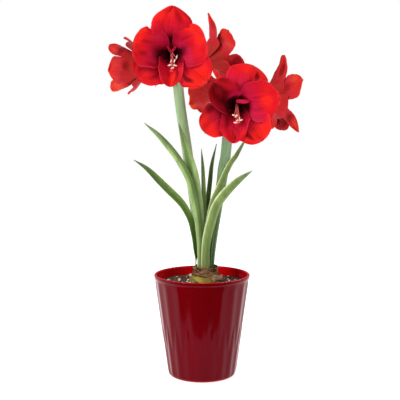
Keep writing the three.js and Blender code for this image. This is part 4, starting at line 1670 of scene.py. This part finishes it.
@dataclass
class Bloom:
    """Open trumpet bloom: two whorls of three tepals on one tube, six stamens and a style.

    Attributes:
        name: Its name in the part.
        base: Foot of its tube, in millimetres.
        axis: Direction out of its mouth.
        tepals: Its tepals, the outer whorl in the even places.
        scale: Its size.
        strands: How long and how far sunk its stamens are.
        anthers: Places of its anthers, then of its stigma, in its own frame, or none for a ring.
        rows: Faces along a tepal.
        columns: Faces across a tepal.
        tube_start: Radius and height where the tepals part, in millimetres.
        tube_control: Radius and height that draw the throat, in millimetres.
        flare: Share of the reach and height that draw the flare.
        gather: How far its tepals lie on one common trumpet.
        calm: Share of the ruffles and hollows that it keeps.
        fringe: Midline of the small fleshy fringe in its throat, in millimetres, or none.
        fringe_width: Half width of that fringe, in millimetres.
        strand_foot: Height where its stamens leave the throat, in millimetres.
    """

    name: str
    base: Point
    axis: Point
    tepals: tuple[Tepal, ...]
    scale: float = 1.0
    strands: float = 0.7
    anthers: tuple[tuple[float, float, float], ...] = ()
    rows: int = 44
    columns: int = 26
    tube_start: tuple[float, float] = (4.2, 6.0)
    tube_control: tuple[float, float] = (14.0, 37.0)
    flare: tuple[float, float] = (0.4, 1.07)
    gather: float = 0.0
    calm: float = 1.0
    fringe: tuple[Point, ...] = ()
    fringe_width: float = 2.0
    strand_foot: float = 18.3

    def frame(self) -> Matrix:
        """Matrix from the bloom's own frame, in millimetres, to the plant, in metres.

        Returns:
            The matrix.
        """
        axis = Vector(self.axis).normalized()
        right = (-axis).cross(UP).normalized()
        top = axis.cross(right)
        turn = Matrix((right, top, axis)).transposed() * (self.scale * MM)
        return Matrix.Translation(millimetres(self.base)) @ turn.to_4x4()

    @staticmethod
    def trumpet(points: Sequence[Vector], out: float) -> float:
        """Height of the common trumpet's half outline at a distance from the axis.

        Args:
            points: Points of the half outline.
            out: Distance from the axis.

        Returns:
            The height, in millimetres.
        """
        high = next((i for i, point in enumerate(points) if point.x > out), len(points) - 1)
        low, top = points[max(high, 1) - 1], points[max(high, 1)]
        return lerp(low.y, top.y, clamp((out - low.x) / (top.x - low.x), 0.0, 1.5))

    def controls(self, reach: float, height: float) -> list[Vector]:
        """Control points of a half outline that ends at a reach and height, in millimetres."""
        shoulder = Vector((self.flare[0] * reach, self.flare[1] * height))
        return [Vector(self.tube_start), Vector(self.tube_control), shoulder, Vector((reach, height))]

    def profile(self) -> list[Vector]:
        """Half outline of the common trumpet, as wide and high as its tepals on average.

        Returns:
            Points of the outline, from the tube to the tip.
        """
        count = len(self.tepals)
        reach = sum(tepal.reach for tepal in self.tepals) / count
        height = sum(tepal.height for tepal in self.tepals) / count
        controls = self.controls(reach, height)
        return [cubic(controls, step / 40) for step in range(41)]

    def surface(self, tepal: Tepal, inner: bool) -> Shape:
        """Middle surface of a tepal, from the tube to its tip.

        Args:
            tepal: The tepal.
            inner: Whether it belongs to the inner whorl.

        Returns:
            The surface's shape in the bloom's own frame.
        """
        controls = self.controls(tepal.reach, tepal.height)
        start, control, shoulder, tip = controls
        cosine, sine = cos(radians(tepal.angle)), sin(radians(tepal.angle))
        outline = self.profile()

        def place(along: float, across: float) -> Vector:
            """Point of the tepal.

            Args:
                along: Share of the length.
                across: Share of the half width, from -1 on its right to 1 on its left.

            Returns:
                The point, in millimetres.
            """
            u = 1 - (1 - along) ** 1.35
            middle = cubic(controls, u)
            run = ((control - start) * (1 - u) ** 2 + (shoulder - control) * (2 * (1 - u) * u)
                   + (tip - shoulder) * (u * u)).normalized()
            full, breadth = tepal.breadth(u, 0 if across > 0 else 1, middle.x)
            roundness = max(breadth * run.y / middle.x, 1e-4)
            turn = clamp(across * roundness, -1.55, 1.55)
            level = breadth * sin(turn) / roundness + tepal.sway * u * u
            cup = breadth * (1 - cos(turn)) / roundness
            radius, above = middle.x - run.y * cup, middle.y + run.x * cup
            whorl = lerp(0.9, 1.3, smooth(u, 0.25, 0.65)) * (1 if inner else -1)
            lift = whorl + tepal.lift(u, across, self.calm) + tepal.fold(u, across, full, breadth)
            common = self.trumpet(outline, hypot(radius, level))
            above = lerp(above, common, self.gather * smooth(u, 0.3, 0.5)) + run.x * lift
            radius += tepal.skew * across * smooth(u, 0.35, 0.8) - run.y * lift
            return Vector((radius * cosine - level * sine, radius * sine + level * cosine, above))

        return place

    def build_tepals(self, face: Material, back: Material) -> None:
        """Models the tepals and the tube as one perianth.

        Args:
            face: Finish of the tepals' inner sides.
            back: Finish of their outer sides.
        """
        to_plant = self.frame()
        blades = []
        for number, tepal in enumerate(self.tepals):
            shape = self.surface(tepal, number % 2 == 1)
            blade = sheet(f"tepal_{number}", self.rows, self.columns, shape)
            places = blade.data.uv_layers[0].data
            tones = [{} for _ in blade.data.vertices]
            for loop in blade.data.loops:
                across, along = places[loop.index].uv
                tones[loop.vertex_index] = tepal.tones(along, 2 * across - 1)
            for name in TONES:
                mark(blade, name, [tone[name] for tone in tones])
            blade.data.transform(to_plant)
            thicken(blade, 0.7 * MM, back, face)
            blades.append(blade)
        if self.fringe:
            blades.append(self.throat_fringe(back, face))
        profile = ((0.0, -0.2), (3.0, -0.2), (4.7, 0.2), (5.2, 3.0), (5.9, 8.0), (6.3, 13.0), (6.0, 16.5),
                   (4.5, 18.0), (0.0, 18.0))

        def ribbed(radius: float, height: float, angle: float) -> Vector:
            """Point of the tube, faintly six-ribbed."""
            return polar(radius * (1 + 0.05 * cos(6 * angle)), angle, height)

        neck = turned("tube_neck", profile, 36, ribbed)
        mark(neck, "throat", [1.0])
        neck.data.materials.append(back)
        neck.data.materials.append(face)
        for polygon in neck.data.polygons:
            polygon.material_index = 1 if polygon.center.z > 17.0 else 0
        neck.data.transform(to_plant)
        piece = joined(f"perianth_{self.name}", [*blades, neck])
        dressed(piece, "petals")
        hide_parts(f"petals_{self.name}")

    def throat_fringe(self, back: Material, face: Material) -> Piece:
        """Small magenta fringe that stands from the throat's wall.

        Args:
            back: Finish of its back.
            face: Finish of its face.

        Returns:
            The fringe.
        """
        path = Path([Vector(point) for point in self.fringe])

        def place(along: float, across: float) -> Vector:
            """Point of the fringe, which faces out of the mouth.

            Args:
                along: Share of the length.
                across: From -1 to 1 across it.

            Returns:
                The point, in millimetres.
            """
            direction = path.direction(along)
            level = Vector((-direction.y, direction.x, 0.0)).normalized()
            ragged = 1 + 0.25 * noise.noise(Vector((9 * along, 3 * across, 1.0)))
            half = self.fringe_width * ragged * (1 - 0.5 * abs(2 * along - 1) ** 3)
            return path.point(along) + level * (across * half) + UP * (0.8 * across * across)

        piece = sheet("throat_fringe", 24, 8, place)
        mark(piece, "rose", [1.0])
        piece.data.transform(self.frame())
        thicken(piece, 0.6 * MM, back, face)
        return piece

    def strand(self, angle: float, place: Vector) -> Bezier:
        """Path of a filament or style that leaves the throat, sinks and ends at a place.

        Args:
            angle: Angle round the axis where it starts, in radians.
            place: Its end in the bloom's own frame.

        Returns:
            The path.
        """
        foot, length = self.strand_foot, place.z - self.strand_foot
        out = polar(1.6, angle, 0.0)
        bend = Vector((0.6 * place.x, 0.85 * place.y, foot + 0.72 * length))
        course = (out + UP * (foot + 0.4), out + UP * (foot + 0.5 * length), bend, place)
        return Bezier([self.frame() @ point for point in course])

    def ends(self) -> list[Vector]:
        """Places of the six anthers and the stigma, in the bloom's own frame.

        Returns:
            The places, in millimetres.
        """
        if self.anthers:
            return [Vector(place) for place in self.anthers]
        draw = random.Random(self.name)
        sunk, spread = 18 * self.strands ** 2, 8 * self.strands ** 2
        ends = []
        for number in range(6):
            turn = compass(90 + 60 * number) * spread
            reach = self.strands * 60 * draw.uniform(0.84, 1.0)
            ends.append(Vector((turn.x, turn.y - sunk, self.strand_foot + reach)))
        return [*ends, Vector((0.0, -sunk, self.strand_foot + self.strands * 74))]

    def build_stamens(self, filament: Material, pollen: Material) -> None:
        """Models the filaments with their anthers, and the style.

        Args:
            filament: Finish of the filaments and style.
            pollen: Finish of the anthers.
        """
        draw = random.Random(self.name + "stamens")
        *ends, stigma = self.ends()
        strands, anthers = [], []
        size = MM * self.scale
        for number, end in enumerate(ends):
            path = self.strand(pi / 2 + tau * number / 6, end)
            strands.append(tube("filament", path, lambda share: 0.8 * size * (1 - 0.35 * share), 22, 8))
            anthers.append(self.anther(path.point(1.0), draw))
        style = self.strand(-pi / 2, stigma)
        strands.append(tube("style", style, lambda share: 0.85 * size * (1 - 0.2 * share), 26, 8))
        for turn in range(3):
            start = style.point(1.0)
            spread = self.frame().to_3x3() @ (compass(90 + 120 * turn) * 2.4)
            lobe = start + style.direction(1.0) * (2.2 * MM) + spread
            lobe_path = Path([start, start.lerp(lobe, 0.6), lobe])
            strands.append(tube("stigma", lobe_path, lambda share: 0.6 * size, 6, 8))
        threads = joined(f"filaments_{self.name}", strands)
        dressed(threads, "stamens", filament)
        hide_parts(f"stamens_{self.name}")
        heads = joined(f"anthers_{self.name}", anthers)
        dressed(heads, "stamens", pollen)

    def anther(self, place: Vector, draw: random.Random) -> Piece:
        """Curved anther of two pollen lobes at the end of a filament.

        Args:
            place: The filament's end.
            draw: Random draws of its turns.

        Returns:
            The anther.
        """
        lean = Matrix.Rotation(draw.uniform(0, tau), 3, "Z")
        lean = self.frame().to_3x3() @ lean @ Matrix.Rotation(draw.uniform(-0.7, 0.7), 3, "X")
        bow = (Vector((0, -3.2, -0.9)), Vector((0, 0, 0.3)), Vector((0, 3.2, -0.9)))
        path = Path([place + lean @ point for point in bow])
        size = MM * self.scale

        def swell(share: float) -> float:
            """Radius of the anther along its length."""
            return size * (0.3 + 0.8 * sin(pi * clamp(share, 0.02, 0.98)) ** 0.5)

        return tube("anther", path, swell, 12, 10, lambda share, angle: 0.2 * size * cos(2 * angle))


# Each tepal's tones and patches paint light and shade onto it: orange painted light where lit, painted
# shade where shaded, painted magenta sheen on lit folds.
BLOOMS = (
    Bloom("a1", (-50, -38, 565), (0, -0.996, 0.085), (
        Tepal(88, 71, 64, 35, left=-2, right=-3, blunt=0.62, widest=0.68, phase=2.0, warm=(0.5, 0.1),
              shade=(0.0, 0.2), throat=(0.12, 0.12), fade=0.1, patches=spots(
            warm=((0.78, 0.6, 0.11, 0.24, 0.45), (0.73, -0.7, 0.07, 0.16, 0.3)),
            shade=((0.77, -0.35, 0.11, 0.23, 0.3), (0.7, 0.15, 0.13, 0.08, 0.35),
                   (0.67, -0.45, 0.09, 0.19, 0.25)), rose=((0.57, -0.25, 0.09, 0.28, 0.35),),
            throat=((0.3, 0.1, 0.15, 0.23, 1),))),
        Tepal(174, 63, 66, 34, left=4, right=-5, blunt=0.3, widest=0.68, waves=2.2, phase=1.0,
              wraps=(54, 79), slits=(0.0, 0.65), warm=(0.2, 0.5), shade=(0.3, 0.1), throat=(0.5, 0.1),
              fade=0.12, patches=spots(
            warm=((0.77, -0.8, 0.1, 0.21, 0.5), (0.87, -0.4, 0.13, 0.33, 0.6)),
            shade=((0.65, -0.3, 0.17, 0.12, 0.5), (0.72, 0.3, 0.12, 0.17, 0.5),
                   (0.57, 0.8, 0.11, 0.15, 0.3)),
            rose=((0.53, 0.3, 0.11, 0.44, 0.5), (0.47, -0.6, 0.13, 0.21, 0.5)),
            throat=((0.35, 0.25, 0.26, 0.51, 0.75),))),
        Tepal(221, 73, 60, 33, left=-3, right=-1, blunt=0.58, phase=4.0, warm=(0.3, 0.1),
              shade=(0.1, 0.3), patches=spots(
            warm=((0.72, 0.15, 0.11, 0.22, 0.4), (0.72, 0.9, 0.06, 0.43, 0.4)),
            shade=((0.78, -0.4, 0.09, 0.24, 0.4), (0.67, 0.5, 0.13, 0.15, 0.35)))),
        Tepal(269, 60, 68, 22, left=7, right=7, blunt=0.45, widest=0.6, drape=9, waves=7, phase=0.5,
              wraps=(56, 56), warm=(0.4, 0.3), rose=0.2, patches=spots(
            rose=((0.77, -0.65, 0.1, 0.25, 0.5), (0.72, 1, 0.08, 0.2, 0.5)),
            warm=((0.8, 0.25, 0.16, 0.42, 0.6),),
            shade=((0.65, -0.15, 0.18, 0.16, 0.4), (0.73, 0.55, 0.13, 0.17, 0.5)))),
        Tepal(320, 78, 61, 33, left=-4, right=18, curl=(0, 22), blunt=0.5, phase=5.2, warm=(0.2, 1.0),
              shade=(0.0, 0.1), patches=spots(
            warm=((0.77, -0.05, 0.18, 0.47, 1), (0.73, 0.5, 0.12, 0.22, 0.3)),
            shade=((0.68, -0.6, 0.14, 0.14, 0.95), (0.67, 0.3, 0.11, 0.15, -0.2)))),
        Tepal(14, 58, 66, 37, left=-6, right=-3, blunt=0.3, widest=0.68, waves=2.6, phase=3.4,
              wraps=(79, 50), slits=(0.65, 0.0), warm=(0.5, 0.3), rose=0.9, throat=(0.1, 0.44),
              fade=0.05, patches=spots(
            warm=((0.72, 0.8, 0.19, 0.19, 0.8), (0.83, 0.15, 0.15, 0.37, 0.6),
                  (0.67, -0.35, 0.14, 0.27, 0.2)),
            shade=((0.52, 0.4, 0.16, 0.1, 0.3), (0.55, 0.05, 0.15, 0.09, 0.2)),
            rose=((0.47, -0.25, 0.1, 0.43, 0.9), (0.4, 0.35, 0.12, 0.21, 0.6)),
            throat=((0.3, -0.15, 0.2, 0.37, 0.8),)))),
          strands=1.0, rows=60, columns=36, gather=0.9,
          fringe=((-8.5, 12, 33), (-5, 6.5, 32), (-1, 1.2, 32), (4, 6.5, 32), (8.8, 12.5, 33)),
          anthers=((8.9, -12, 64), (0.4, -19, 72), (5.7, -19.5, 76), (-1.8, -26, 74), (6.5, -26, 70),
                   (3.0, -31, 78), (0.8, -35.5, 84))),
    Bloom("a2", (-74, 18, 549), (-0.93, 0.36, -0.04), (
        Tepal(118, 62, 82, 11, blunt=0.9, patches=spots(
            shade=((0.42, -0.7, 0.11, 0.21, 0.4),))),
        Tepal(180, 44, 76, 25), Tepal(244, 46, 70, 24),
        Tepal(290, 43, 88, 24, blunt=0.5, warm=(0.6, 0.6), patches=spots(
            warm=((0.65, 0.35, 0.12, 0.85, 0.6),), shade=((0.45, -1, 0.09, 1.63, 0.7),))),
        Tepal(352, 42, 80, 26, blunt=0.9, patches=spots(
            shade=((0.45, 0.25, 0.09, 0.49, 0.9), (0.55, -0.45, 0.08, 0.45, 0.3)),
            warm=((0.7, 0.5, 0.14, 0.35, 0.3),))),
        Tepal(66, 45, 88, 19, patches=spots(
            shade=((0.55, -0.1, 0.08, 0.89, 0.8),), warm=((0.68, -0.6, 0.11, 0.45, 0.4),)))),
          flare=(0.95, 0.78), calm=0.45),
    Bloom("a3", (-6, 16, 550), (0.74, 0.6, 0.26), (
        Tepal(86, 86, 60, 12, blunt=0.8, sway=-8, wraps=(40, 64), patches=spots(
            rose=((0.55, -0.85, 0.07, 0.71, 0.4),), shade=((0.73, 0.5, 0.09, 1.31, 0.3),))),
        Tepal(117, 56, 62, 25, blunt=0.45, patches=spots(
            warm=((0.62, 0.55, 0.07, 0.52, 0.6),), shade=((0.57, -0.45, 0.14, 0.56, 0.5),))),
        Tepal(240, 58, 64, 26, curl=(0, 14)),
        Tepal(210, 58, 64, 22, shade=(0.6, 0.6), patches=spots(
            shade=((0.67, -0.4, 0.15, 0.46, 0.8),))),
        Tepal(306, 54, 66, 26), Tepal(20, 50, 64, 24)),
          scale=0.95, calm=0.45),
    Bloom("b1", (59, -34, 483), (-0.03, -0.999, 0), (
        Tepal(67, 68, 63, 35, right=-6, blunt=0.42, waves=3.4, phase=0.6, warm=(0.3, 0.4),
              shade=(0.0, 0.2), patches=spots(
            shade=((0.78, -0.4, 0.1, 0.15, 0.9), (0.7, -0.15, 0.13, 0.12, 0.3)),
            warm=((0.83, 0.25, 0.1, 0.3, 0.3), (0.88, -0.85, 0.08, 0.21, 0.4)),
            rose=((0.57, 0.2, 0.15, 0.19, 0.5),))),
        Tepal(137, 53, 74, 30, left=12, right=-2, blunt=0.4, widest=0.66, phase=2.2, wraps=(56, 72),
              slits=(0.0, 0.6), warm=(0.0, 0.1), shade=(0.7, 0.0), rose=0.8, throat=(0.42, 0.16),
              fade=0.08, patches=spots(
            shade=((0.68, 0.2, 0.37, 0.5, 0.9), (0.78, -0.6, 0.23, 0.27, 0.6),
                   (0.48, -0.9, 0.13, 0.22, 0.6)), rose=((0.67, -1, 0.09, 0.37, 0.5),),
            warm=((0.93, -1, 0.07, 0.72, 0.4), (0.72, -1, 0.05, 0.38, 0.3)),
            throat=((0.33, 0.4, 0.31, 0.38, 0.7),))),
        Tepal(218, 71, 60, 30, left=-6, right=3, blunt=0.5, phase=4.4, warm=(0.8, 0.1),
              shade=(0.0, 0.4), patches=spots(
            warm=((0.82, -0.55, 0.16, 0.29, 0.95), (0.78, 0.15, 0.14, 0.27, 0.4)),
            shade=((0.6, -0.7, 0.1, 0.28, 0.6), (0.68, 0.85, 0.11, 0.22, 0.5)))),
        Tepal(264, 64, 66, 24, left=7, right=6, blunt=0.45, widest=0.62, drape=9, waves=7, phase=1.4,
              wraps=(60, 60), warm=(0.1, 0.2), shade=(0.1, 0.3), patches=spots(
            shade=((0.57, -0.55, 0.15, 0.21, 0.6), (0.77, 0.1, 0.17, 0.34, 0.3),
                   (0.55, 0.35, 0.11, 0.13, 0.5)), warm=((0.72, 0.7, 0.14, 0.19, 0.5),))),
        Tepal(306, 74, 62, 33, right=2, blunt=0.5, phase=5.0, warm=(0.9, 0.7), shade=(0.0, 0.3),
              patches=spots(
            shade=((0.73, -0.5, 0.14, 0.16, 0.95), (0.68, 0.75, 0.08, 0.15, 0.2)),
            warm=((0.77, 0.2, 0.16, 0.35, 0.9), (0.75, -0.9, 0.05, 0.28, 0.5)))),
        Tepal(8, 72, 64, 36, left=-3, right=-2, blunt=0.62, widest=0.66, waves=2.0, phase=3.0,
              wraps=(74, 56), slits=(0.45, 0.0), warm=(0.2, 0.5), rose=0.9, throat=(0.2, 0.4),
              fade=0.06, patches=spots(
            rose=((0.38, -0.05, 0.09, 0.52, 0.9), (0.58, -0.8, 0.08, 0.29, 0.3)),
            warm=((0.7, -0.05, 0.15, 0.35, 0.6),),
            shade=((0.52, -0.4, 0.16, 0.08, 0.3), (0.53, 0.2, 0.16, 0.07, 0.2)),
            throat=((0.3, -0.25, 0.13, 0.45, 0.8),)))),
          strands=1.0, rows=60, columns=36, gather=0.9, fringe_width=3.2,
          fringe=((-1, 5, 47), (9, 4, 48), (20, 4, 45)),
          anthers=((-4.6, -18, 70), (-1.3, -19.5, 74), (4.2, -24, 76), (0.5, -27, 72), (6.0, -26, 80),
                   (-2.0, -30, 76), (3.0, -29, 86))),
    Bloom("b2", (86, 18, 494), (0.88, 0.46, 0.03), (
        Tepal(103, 76, 62, 20, blunt=0.35, widest=0.55, wraps=(64, 20), shade=(0.1, 0.6), patches=spots(
            shade=((0.67, 0.2, 0.17, 0.37, 0.8),), warm=((0.68, -0.7, 0.11, 0.62, 0.2),))),
        Tepal(158, 78, 62, 23, blunt=0.8, patches=spots(
            shade=((0.5, -0.1, 0.13, 0.5, 0.7),), warm=((0.72, -0.6, 0.13, 0.47, 0.7),))),
        Tepal(226, 88, 62, 12, blunt=0.8, patches=spots(
            warm=((0.82, -0.4, 0.1, 0.62, 0.4),), shade=((0.63, 0, 0.09, 1.23, 0.8),))),
        Tepal(274, 62, 64, 31, blunt=0.3, widest=0.7, shade=(0.4, 0.6), patches=spots(
            shade=((0.7, -0.05, 0.22, 0.87, 0.9), (0.53, -0.8, 0.08, 0.29, 0.6)))),
        Tepal(300, 70, 64, 13, blunt=0.7), Tepal(30, 34, 64, 22)),
          scale=0.98, calm=0.45),
    Bloom("b3", (37, 18, 497), (-0.62, 0.78, 0.05), (
        Tepal(90, 50, 68, 28), Tepal(150, 54, 66, 28), Tepal(210, 60, 66, 30, warm=(0.7, 0.7)),
        Tepal(276, 44, 74, 22, warm=(1.0, 1.0)), Tepal(330, 50, 72, 26, warm=(1.0, 1.0)),
        Tepal(30, 48, 72, 26, warm=(0.7, 0.7))),
          scale=0.75, strands=0.6),
)


# -------------------- scapes


@dataclass
class Scape:
    """Flower stem with its umbel of pedicels, their ovaries and two dry bracts.

    Attributes:
        side: Its name in the part.
        midline: Its middle line, in millimetres.
        bracts: Compass angles of its two bracts.
        blooms: The blooms that it carries.
        heights: Colours by height, in metres.
        foot_radius: Its radius at the foot.
        radius: Its radius from half its height upwards.
        bract_length: Length of a bract.
    """

    side: str
    midline: tuple[Point, ...]
    bracts: tuple[float, float]
    blooms: tuple[Bloom, ...]
    heights: tuple[tuple[float, Colour], ...]
    foot_radius: float = 7 * MM
    radius: float = 8.9 * MM
    bract_length: float = 66 * MM

    def build(self) -> None:
        """Models the stem with its umbel, then its bracts."""
        path = Path([millimetres(point) for point in self.midline])

        def thickness(share: float) -> float:
            """Radius of the stem, rounded in at its top."""
            body = lerp(self.foot_radius, self.radius, smooth(share, 0.0, 0.5))
            return body * (1 - 0.35 * smooth(share, 0.985, 1.0))

        def ribs(share: float, angle: float) -> float:
            """Faint ribs round a stem that isn't quite round."""
            return 0.12 * MM * cos(9 * angle) + 0.2 * MM * cos(2 * angle + 0.6)

        stem = tube(f"stem_{self.side}", path, thickness, 90, 36, ribs)
        pedicels = [self.pedicel(path.point(1.0), bloom) for bloom in self.blooms]
        piece = joined(f"flower_stem_{self.side}", [stem, *pedicels])
        dressed(piece, "scape", StemFinish(f"waxy_stem_{self.side}", self.heights).material())
        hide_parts(f"scape_{self.side}")
        dry = PaperFinish(f"dry_bract_{self.side}",
                          tint(198, 160, 120), tint(150, 108, 76), tint(116, 78, 56))
        for letter, angle in zip("ab", self.bracts):
            self.bract(letter, angle, path, dry.material())

    def pedicel(self, top: Vector, bloom: Bloom) -> Piece:
        """Flower stalk that swells into a three-sided ovary below its bloom.

        Args:
            top: The stem's top.
            bloom: The bloom that it carries.

        Returns:
            The stalk.
        """
        base = millimetres(bloom.base)
        axis = Vector(bloom.axis).normalized()
        outward = base - top
        outward.z = 0.0
        start = top + outward.normalized() * (4.2 * MM) - UP * (4 * MM)
        path = Bezier([start, start + UP * (26 * MM), base - axis * (26 * MM), base - axis * (0.1 * MM)])

        def thickness(share: float) -> float:
            """Radius of the stalk and the ovary."""
            return lerp(3.2, 5.3, smooth(share, 0.6, 0.84) - 0.35 * smooth(share, 0.88, 1.0)) * MM

        return tube(f"pedicel_{bloom.name}", path, thickness, 40, 24,
                    lambda share, angle: 0.5 * MM * cos(3 * angle) * smooth(share, 0.6, 0.8))

    def bract(self, letter: str, angle: float, path: Path, finish: Material) -> None:
        """Dry spathe bract that leans out from the top of the stem.

        Args:
            letter: Its letter in the part.
            angle: Compass angle that it leans to.
            path: The stem's middle line.
            finish: Its finish.
        """
        length = self.bract_length
        seat = path.point(1 - 6 * MM / path.lengths[-1])
        outward, level = compass(angle), UP.cross(compass(angle))
        foot = self.radius + 0.7 * MM

        def place(along: float, across: float) -> Vector:
            """Point of the bract, crumpled and wrapped round the stem at its foot.

            Args:
                along: Share of the length.
                across: From -1 to 1 across it.

            Returns:
                The point.
            """
            reach = foot + length * 0.55 * along ** 1.3
            rise = length * (0.36 * sin(pi * along * 0.8) - 0.25 * along * along)
            half = max(7.5 * MM * sin(pi * lerp(0.28, 1.0, along)) ** 0.8, 0.4 * MM)
            wrap = (across * half) ** 2 / (2 * foot) * (1 - along)
            crumple = 0.8 * MM * sin(5 * across + 7 * along) * along * (1 - along) * 2
            return seat + outward * (reach - wrap) + level * (across * half) + UP * (rise + crumple)

        piece = sheet(f"spathe_{self.side}_{letter}", 30, 12, place)
        thicken(piece, 0.5 * MM, finish, finish)
        dressed(piece, "bract")
        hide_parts(f"bract_{self.side}_{letter}")


# -------------------- studio


@dataclass
class Studio:
    """Pale floor, soft lights and the camera.

    Attributes:
        camera_place: Where the camera stands.
        camera_pitch: How far it looks down, in degrees.
        lens: Its focal length, in millimetres, on a sensor 36 mm wide.
        shift: Sideways shift of its frame.
        card_edge: Y of the dark card's near edge, which only reflections show.
        ambient: Strength of the light from all sides.
    """

    camera_place: Vector = field(default_factory=lambda: Vector((0.0, -1.6, 0.4905)))
    camera_pitch: float = 6.289
    lens: float = 82.18
    shift: float = -0.0049
    card_edge: float = -0.225
    ambient: float = 0.34

    def build(self) -> None:
        """Lays the floor, hangs the lights and sets the camera."""
        self.floor()
        self.card()
        self.world()
        self.light("key", (-1.4, -1.2, 1.8), 0.9, 36.0)
        self.light("fill", (1.3, -1.7, 1.0), 1.2, 9.0)
        self.light("rim", (0.8, 1.3, 1.8), 1.0, 12.0)
        self.camera()

    def floor(self) -> None:
        """Plain pale floor."""
        deselect()
        bpy.ops.mesh.primitive_plane_add(size=9.0)
        floor = bpy.context.active_object
        floor.name = "floor"
        tree = Tree("pale_floor")
        tree.set(Base_Color=tint(240, 240, 240), Roughness=0.9, Specular_IOR_Level=0.1,
                 Emission_Color=(1.0, 1.0, 1.0, 1.0), Emission_Strength=0.8)
        floor.data.materials.append(tree.material)

    def card(self) -> None:
        """Dark card in front of the table, which only glossy reflections show."""
        deselect()
        bpy.ops.mesh.primitive_plane_add(size=2.0, location=(0.0, self.card_edge - 1.0, 0.5 * MM))
        card = bpy.context.active_object
        card.name = "dark_card"
        tree = Tree("black_card")
        tree.set(Base_Color=tint(6, 4, 4), Roughness=1.0, Specular_IOR_Level=0.0)
        card.data.materials.append(tree.material)
        card.visible_camera = card.visible_diffuse = card.visible_shadow = False
        card.visible_transmission = card.visible_volume_scatter = False

    def world(self) -> None:
        """Soft white light from all sides."""
        world = bpy.data.worlds.new("studio")
        world.use_nodes = True
        background = next(node for node in world.node_tree.nodes if node.type == "BACKGROUND")
        background.inputs["Color"].default_value = (1.0, 1.0, 1.0, 1.0)
        nodes, links = world.node_tree.nodes, world.node_tree.links
        seen = nodes.new("ShaderNodeLightPath").outputs["Is Camera Ray"]
        strength = nodes.new("ShaderNodeMapRange")
        strength.inputs["To Min"].default_value = self.ambient
        strength.inputs["To Max"].default_value = 1.0
        links.new(seen, strength.inputs["Value"])
        links.new(strength.outputs[0], background.inputs["Strength"])
        bpy.context.scene.world = world
        bpy.context.scene.view_settings.view_transform = "Standard"

    def light(self, name: str, place: Point, size: float, power: float) -> None:
        """Hangs a soft square light that looks at the blooms.

        Args:
            name: The light's name.
            place: Where it hangs.
            size: Its width.
            power: Its power in watts.
        """
        deselect()
        bpy.ops.object.light_add(type="AREA", location=place)
        light = bpy.context.active_object
        light.name = name
        light.data.shape, light.data.size, light.data.energy = "SQUARE", size, power
        aim = Vector((0.0, 0.0, 0.4)) - Vector(place)
        light.rotation_euler = aim.to_track_quat("-Z", "Y").to_euler()

    def camera(self) -> None:
        """Sets the camera."""
        deselect()
        bpy.ops.object.camera_add(location=self.camera_place,
                                  rotation=(radians(90 - self.camera_pitch), 0.0, 0.0))
        camera = bpy.context.active_object
        camera.name = "camera"
        camera.data.sensor_width, camera.data.lens = 36.0, self.lens
        camera.data.shift_x = self.shift
        bpy.context.scene.camera = camera


# -------------------- plant


def build_blooms() -> None:
    """Makes the bloom finishes and models every bloom."""
    # Face colours: the orange is painted light, deep is painted shade, margin a painted highlight,
    # magenta partly painted sheen, depth the dark throat with painted shade.
    face = PetalFinish(
        "velvet_petal",
        along=((0.3, tint(166, 4, 38)), (0.5, tint(192, 8, 40)), (0.72, tint(204, 8, 32)),
               (1.0, tint(212, 11, 28))),
        warm=tint(246, 36, 24), rose=tint(204, 24, 68), deep=tint(112, 0, 8), vein=0.22,
        margin=tint(246, 100, 112), depth=tint(60, 0, 8), midrib=tint(170, 20, 50), midrib_reach=0.6)
    # Back colours: the same tones paint light, shade, sheen and a margin highlight; here depth is the
    # tube's own colour.
    back = PetalFinish(
        "petal_back",
        along=((0.08, tint(150, 96, 60)), (0.2, tint(184, 44, 42)), (0.3, tint(200, 28, 38)),
               (1.0, tint(218, 30, 36))),
        warm=tint(246, 74, 46), rose=tint(196, 60, 74), deep=tint(132, 4, 14), vein=0.2,
        margin=tint(240, 100, 100), depth=tint(176, 44, 40), midrib=tint(180, 60, 54), midrib_reach=0.4)
    face_material, back_material = face.material(), back.material()
    filament = PollenFinish("filament_red", tint(236, 120, 110), tint(206, 70, 76)).material()
    pollen = PollenFinish("cream_pollen", tint(250, 236, 214), tint(222, 176, 150)).material()
    for bloom in BLOOMS:
        bloom.build_tepals(face_material, back_material)
        bloom.build_stamens(filament, pollen)


def build_scapes() -> None:
    """Models the two flower stems."""
    left = ((0.17, tint(120, 156, 60)), (0.30, tint(160, 190, 124)), (0.42, tint(150, 176, 126)),
            (0.50, tint(142, 170, 128)), (0.56, tint(132, 160, 96)))
    # The right stem is darker towards its foot: painted shade where it stands behind the leaves.
    right = ((0.17, tint(44, 78, 16)), (0.27, tint(56, 90, 24)), (0.33, tint(92, 120, 64)),
             (0.38, tint(116, 148, 106)), (0.52, tint(118, 156, 128)))
    Scape("left", bracts=(212.0, 88.0), blooms=BLOOMS[:3], heights=left,
          midline=((0, 4, 168.3), (-0.6, 4.2, 203), (-13, 6, 305), (-26, 8, 400), (-37, 9, 472),
                   (-42.5, 9, 520))).build()
    Scape("right", bracts=(206.0, 72.0), blooms=BLOOMS[3:], heights=right,
          midline=((15, 4, 168.3), (14.6, 4, 203), (20, 4, 255), (29, 5, 314), (39.5, 5, 376),
                   (46, 5, 440))).build()


def main() -> None:
    """Builds the whole scene, piece by piece."""
    logging.basicConfig(level=logging.INFO, format="%(name)s %(message)s")
    Studio().build()
    pot = FlutedPot()
    pot.build()
    PottingMix(pot).build()
    Bulb().build()
    build_scapes()
    for leaf in LEAVES:
        leaf.build()
    build_blooms()


if __name__ == "__main__":
    main()
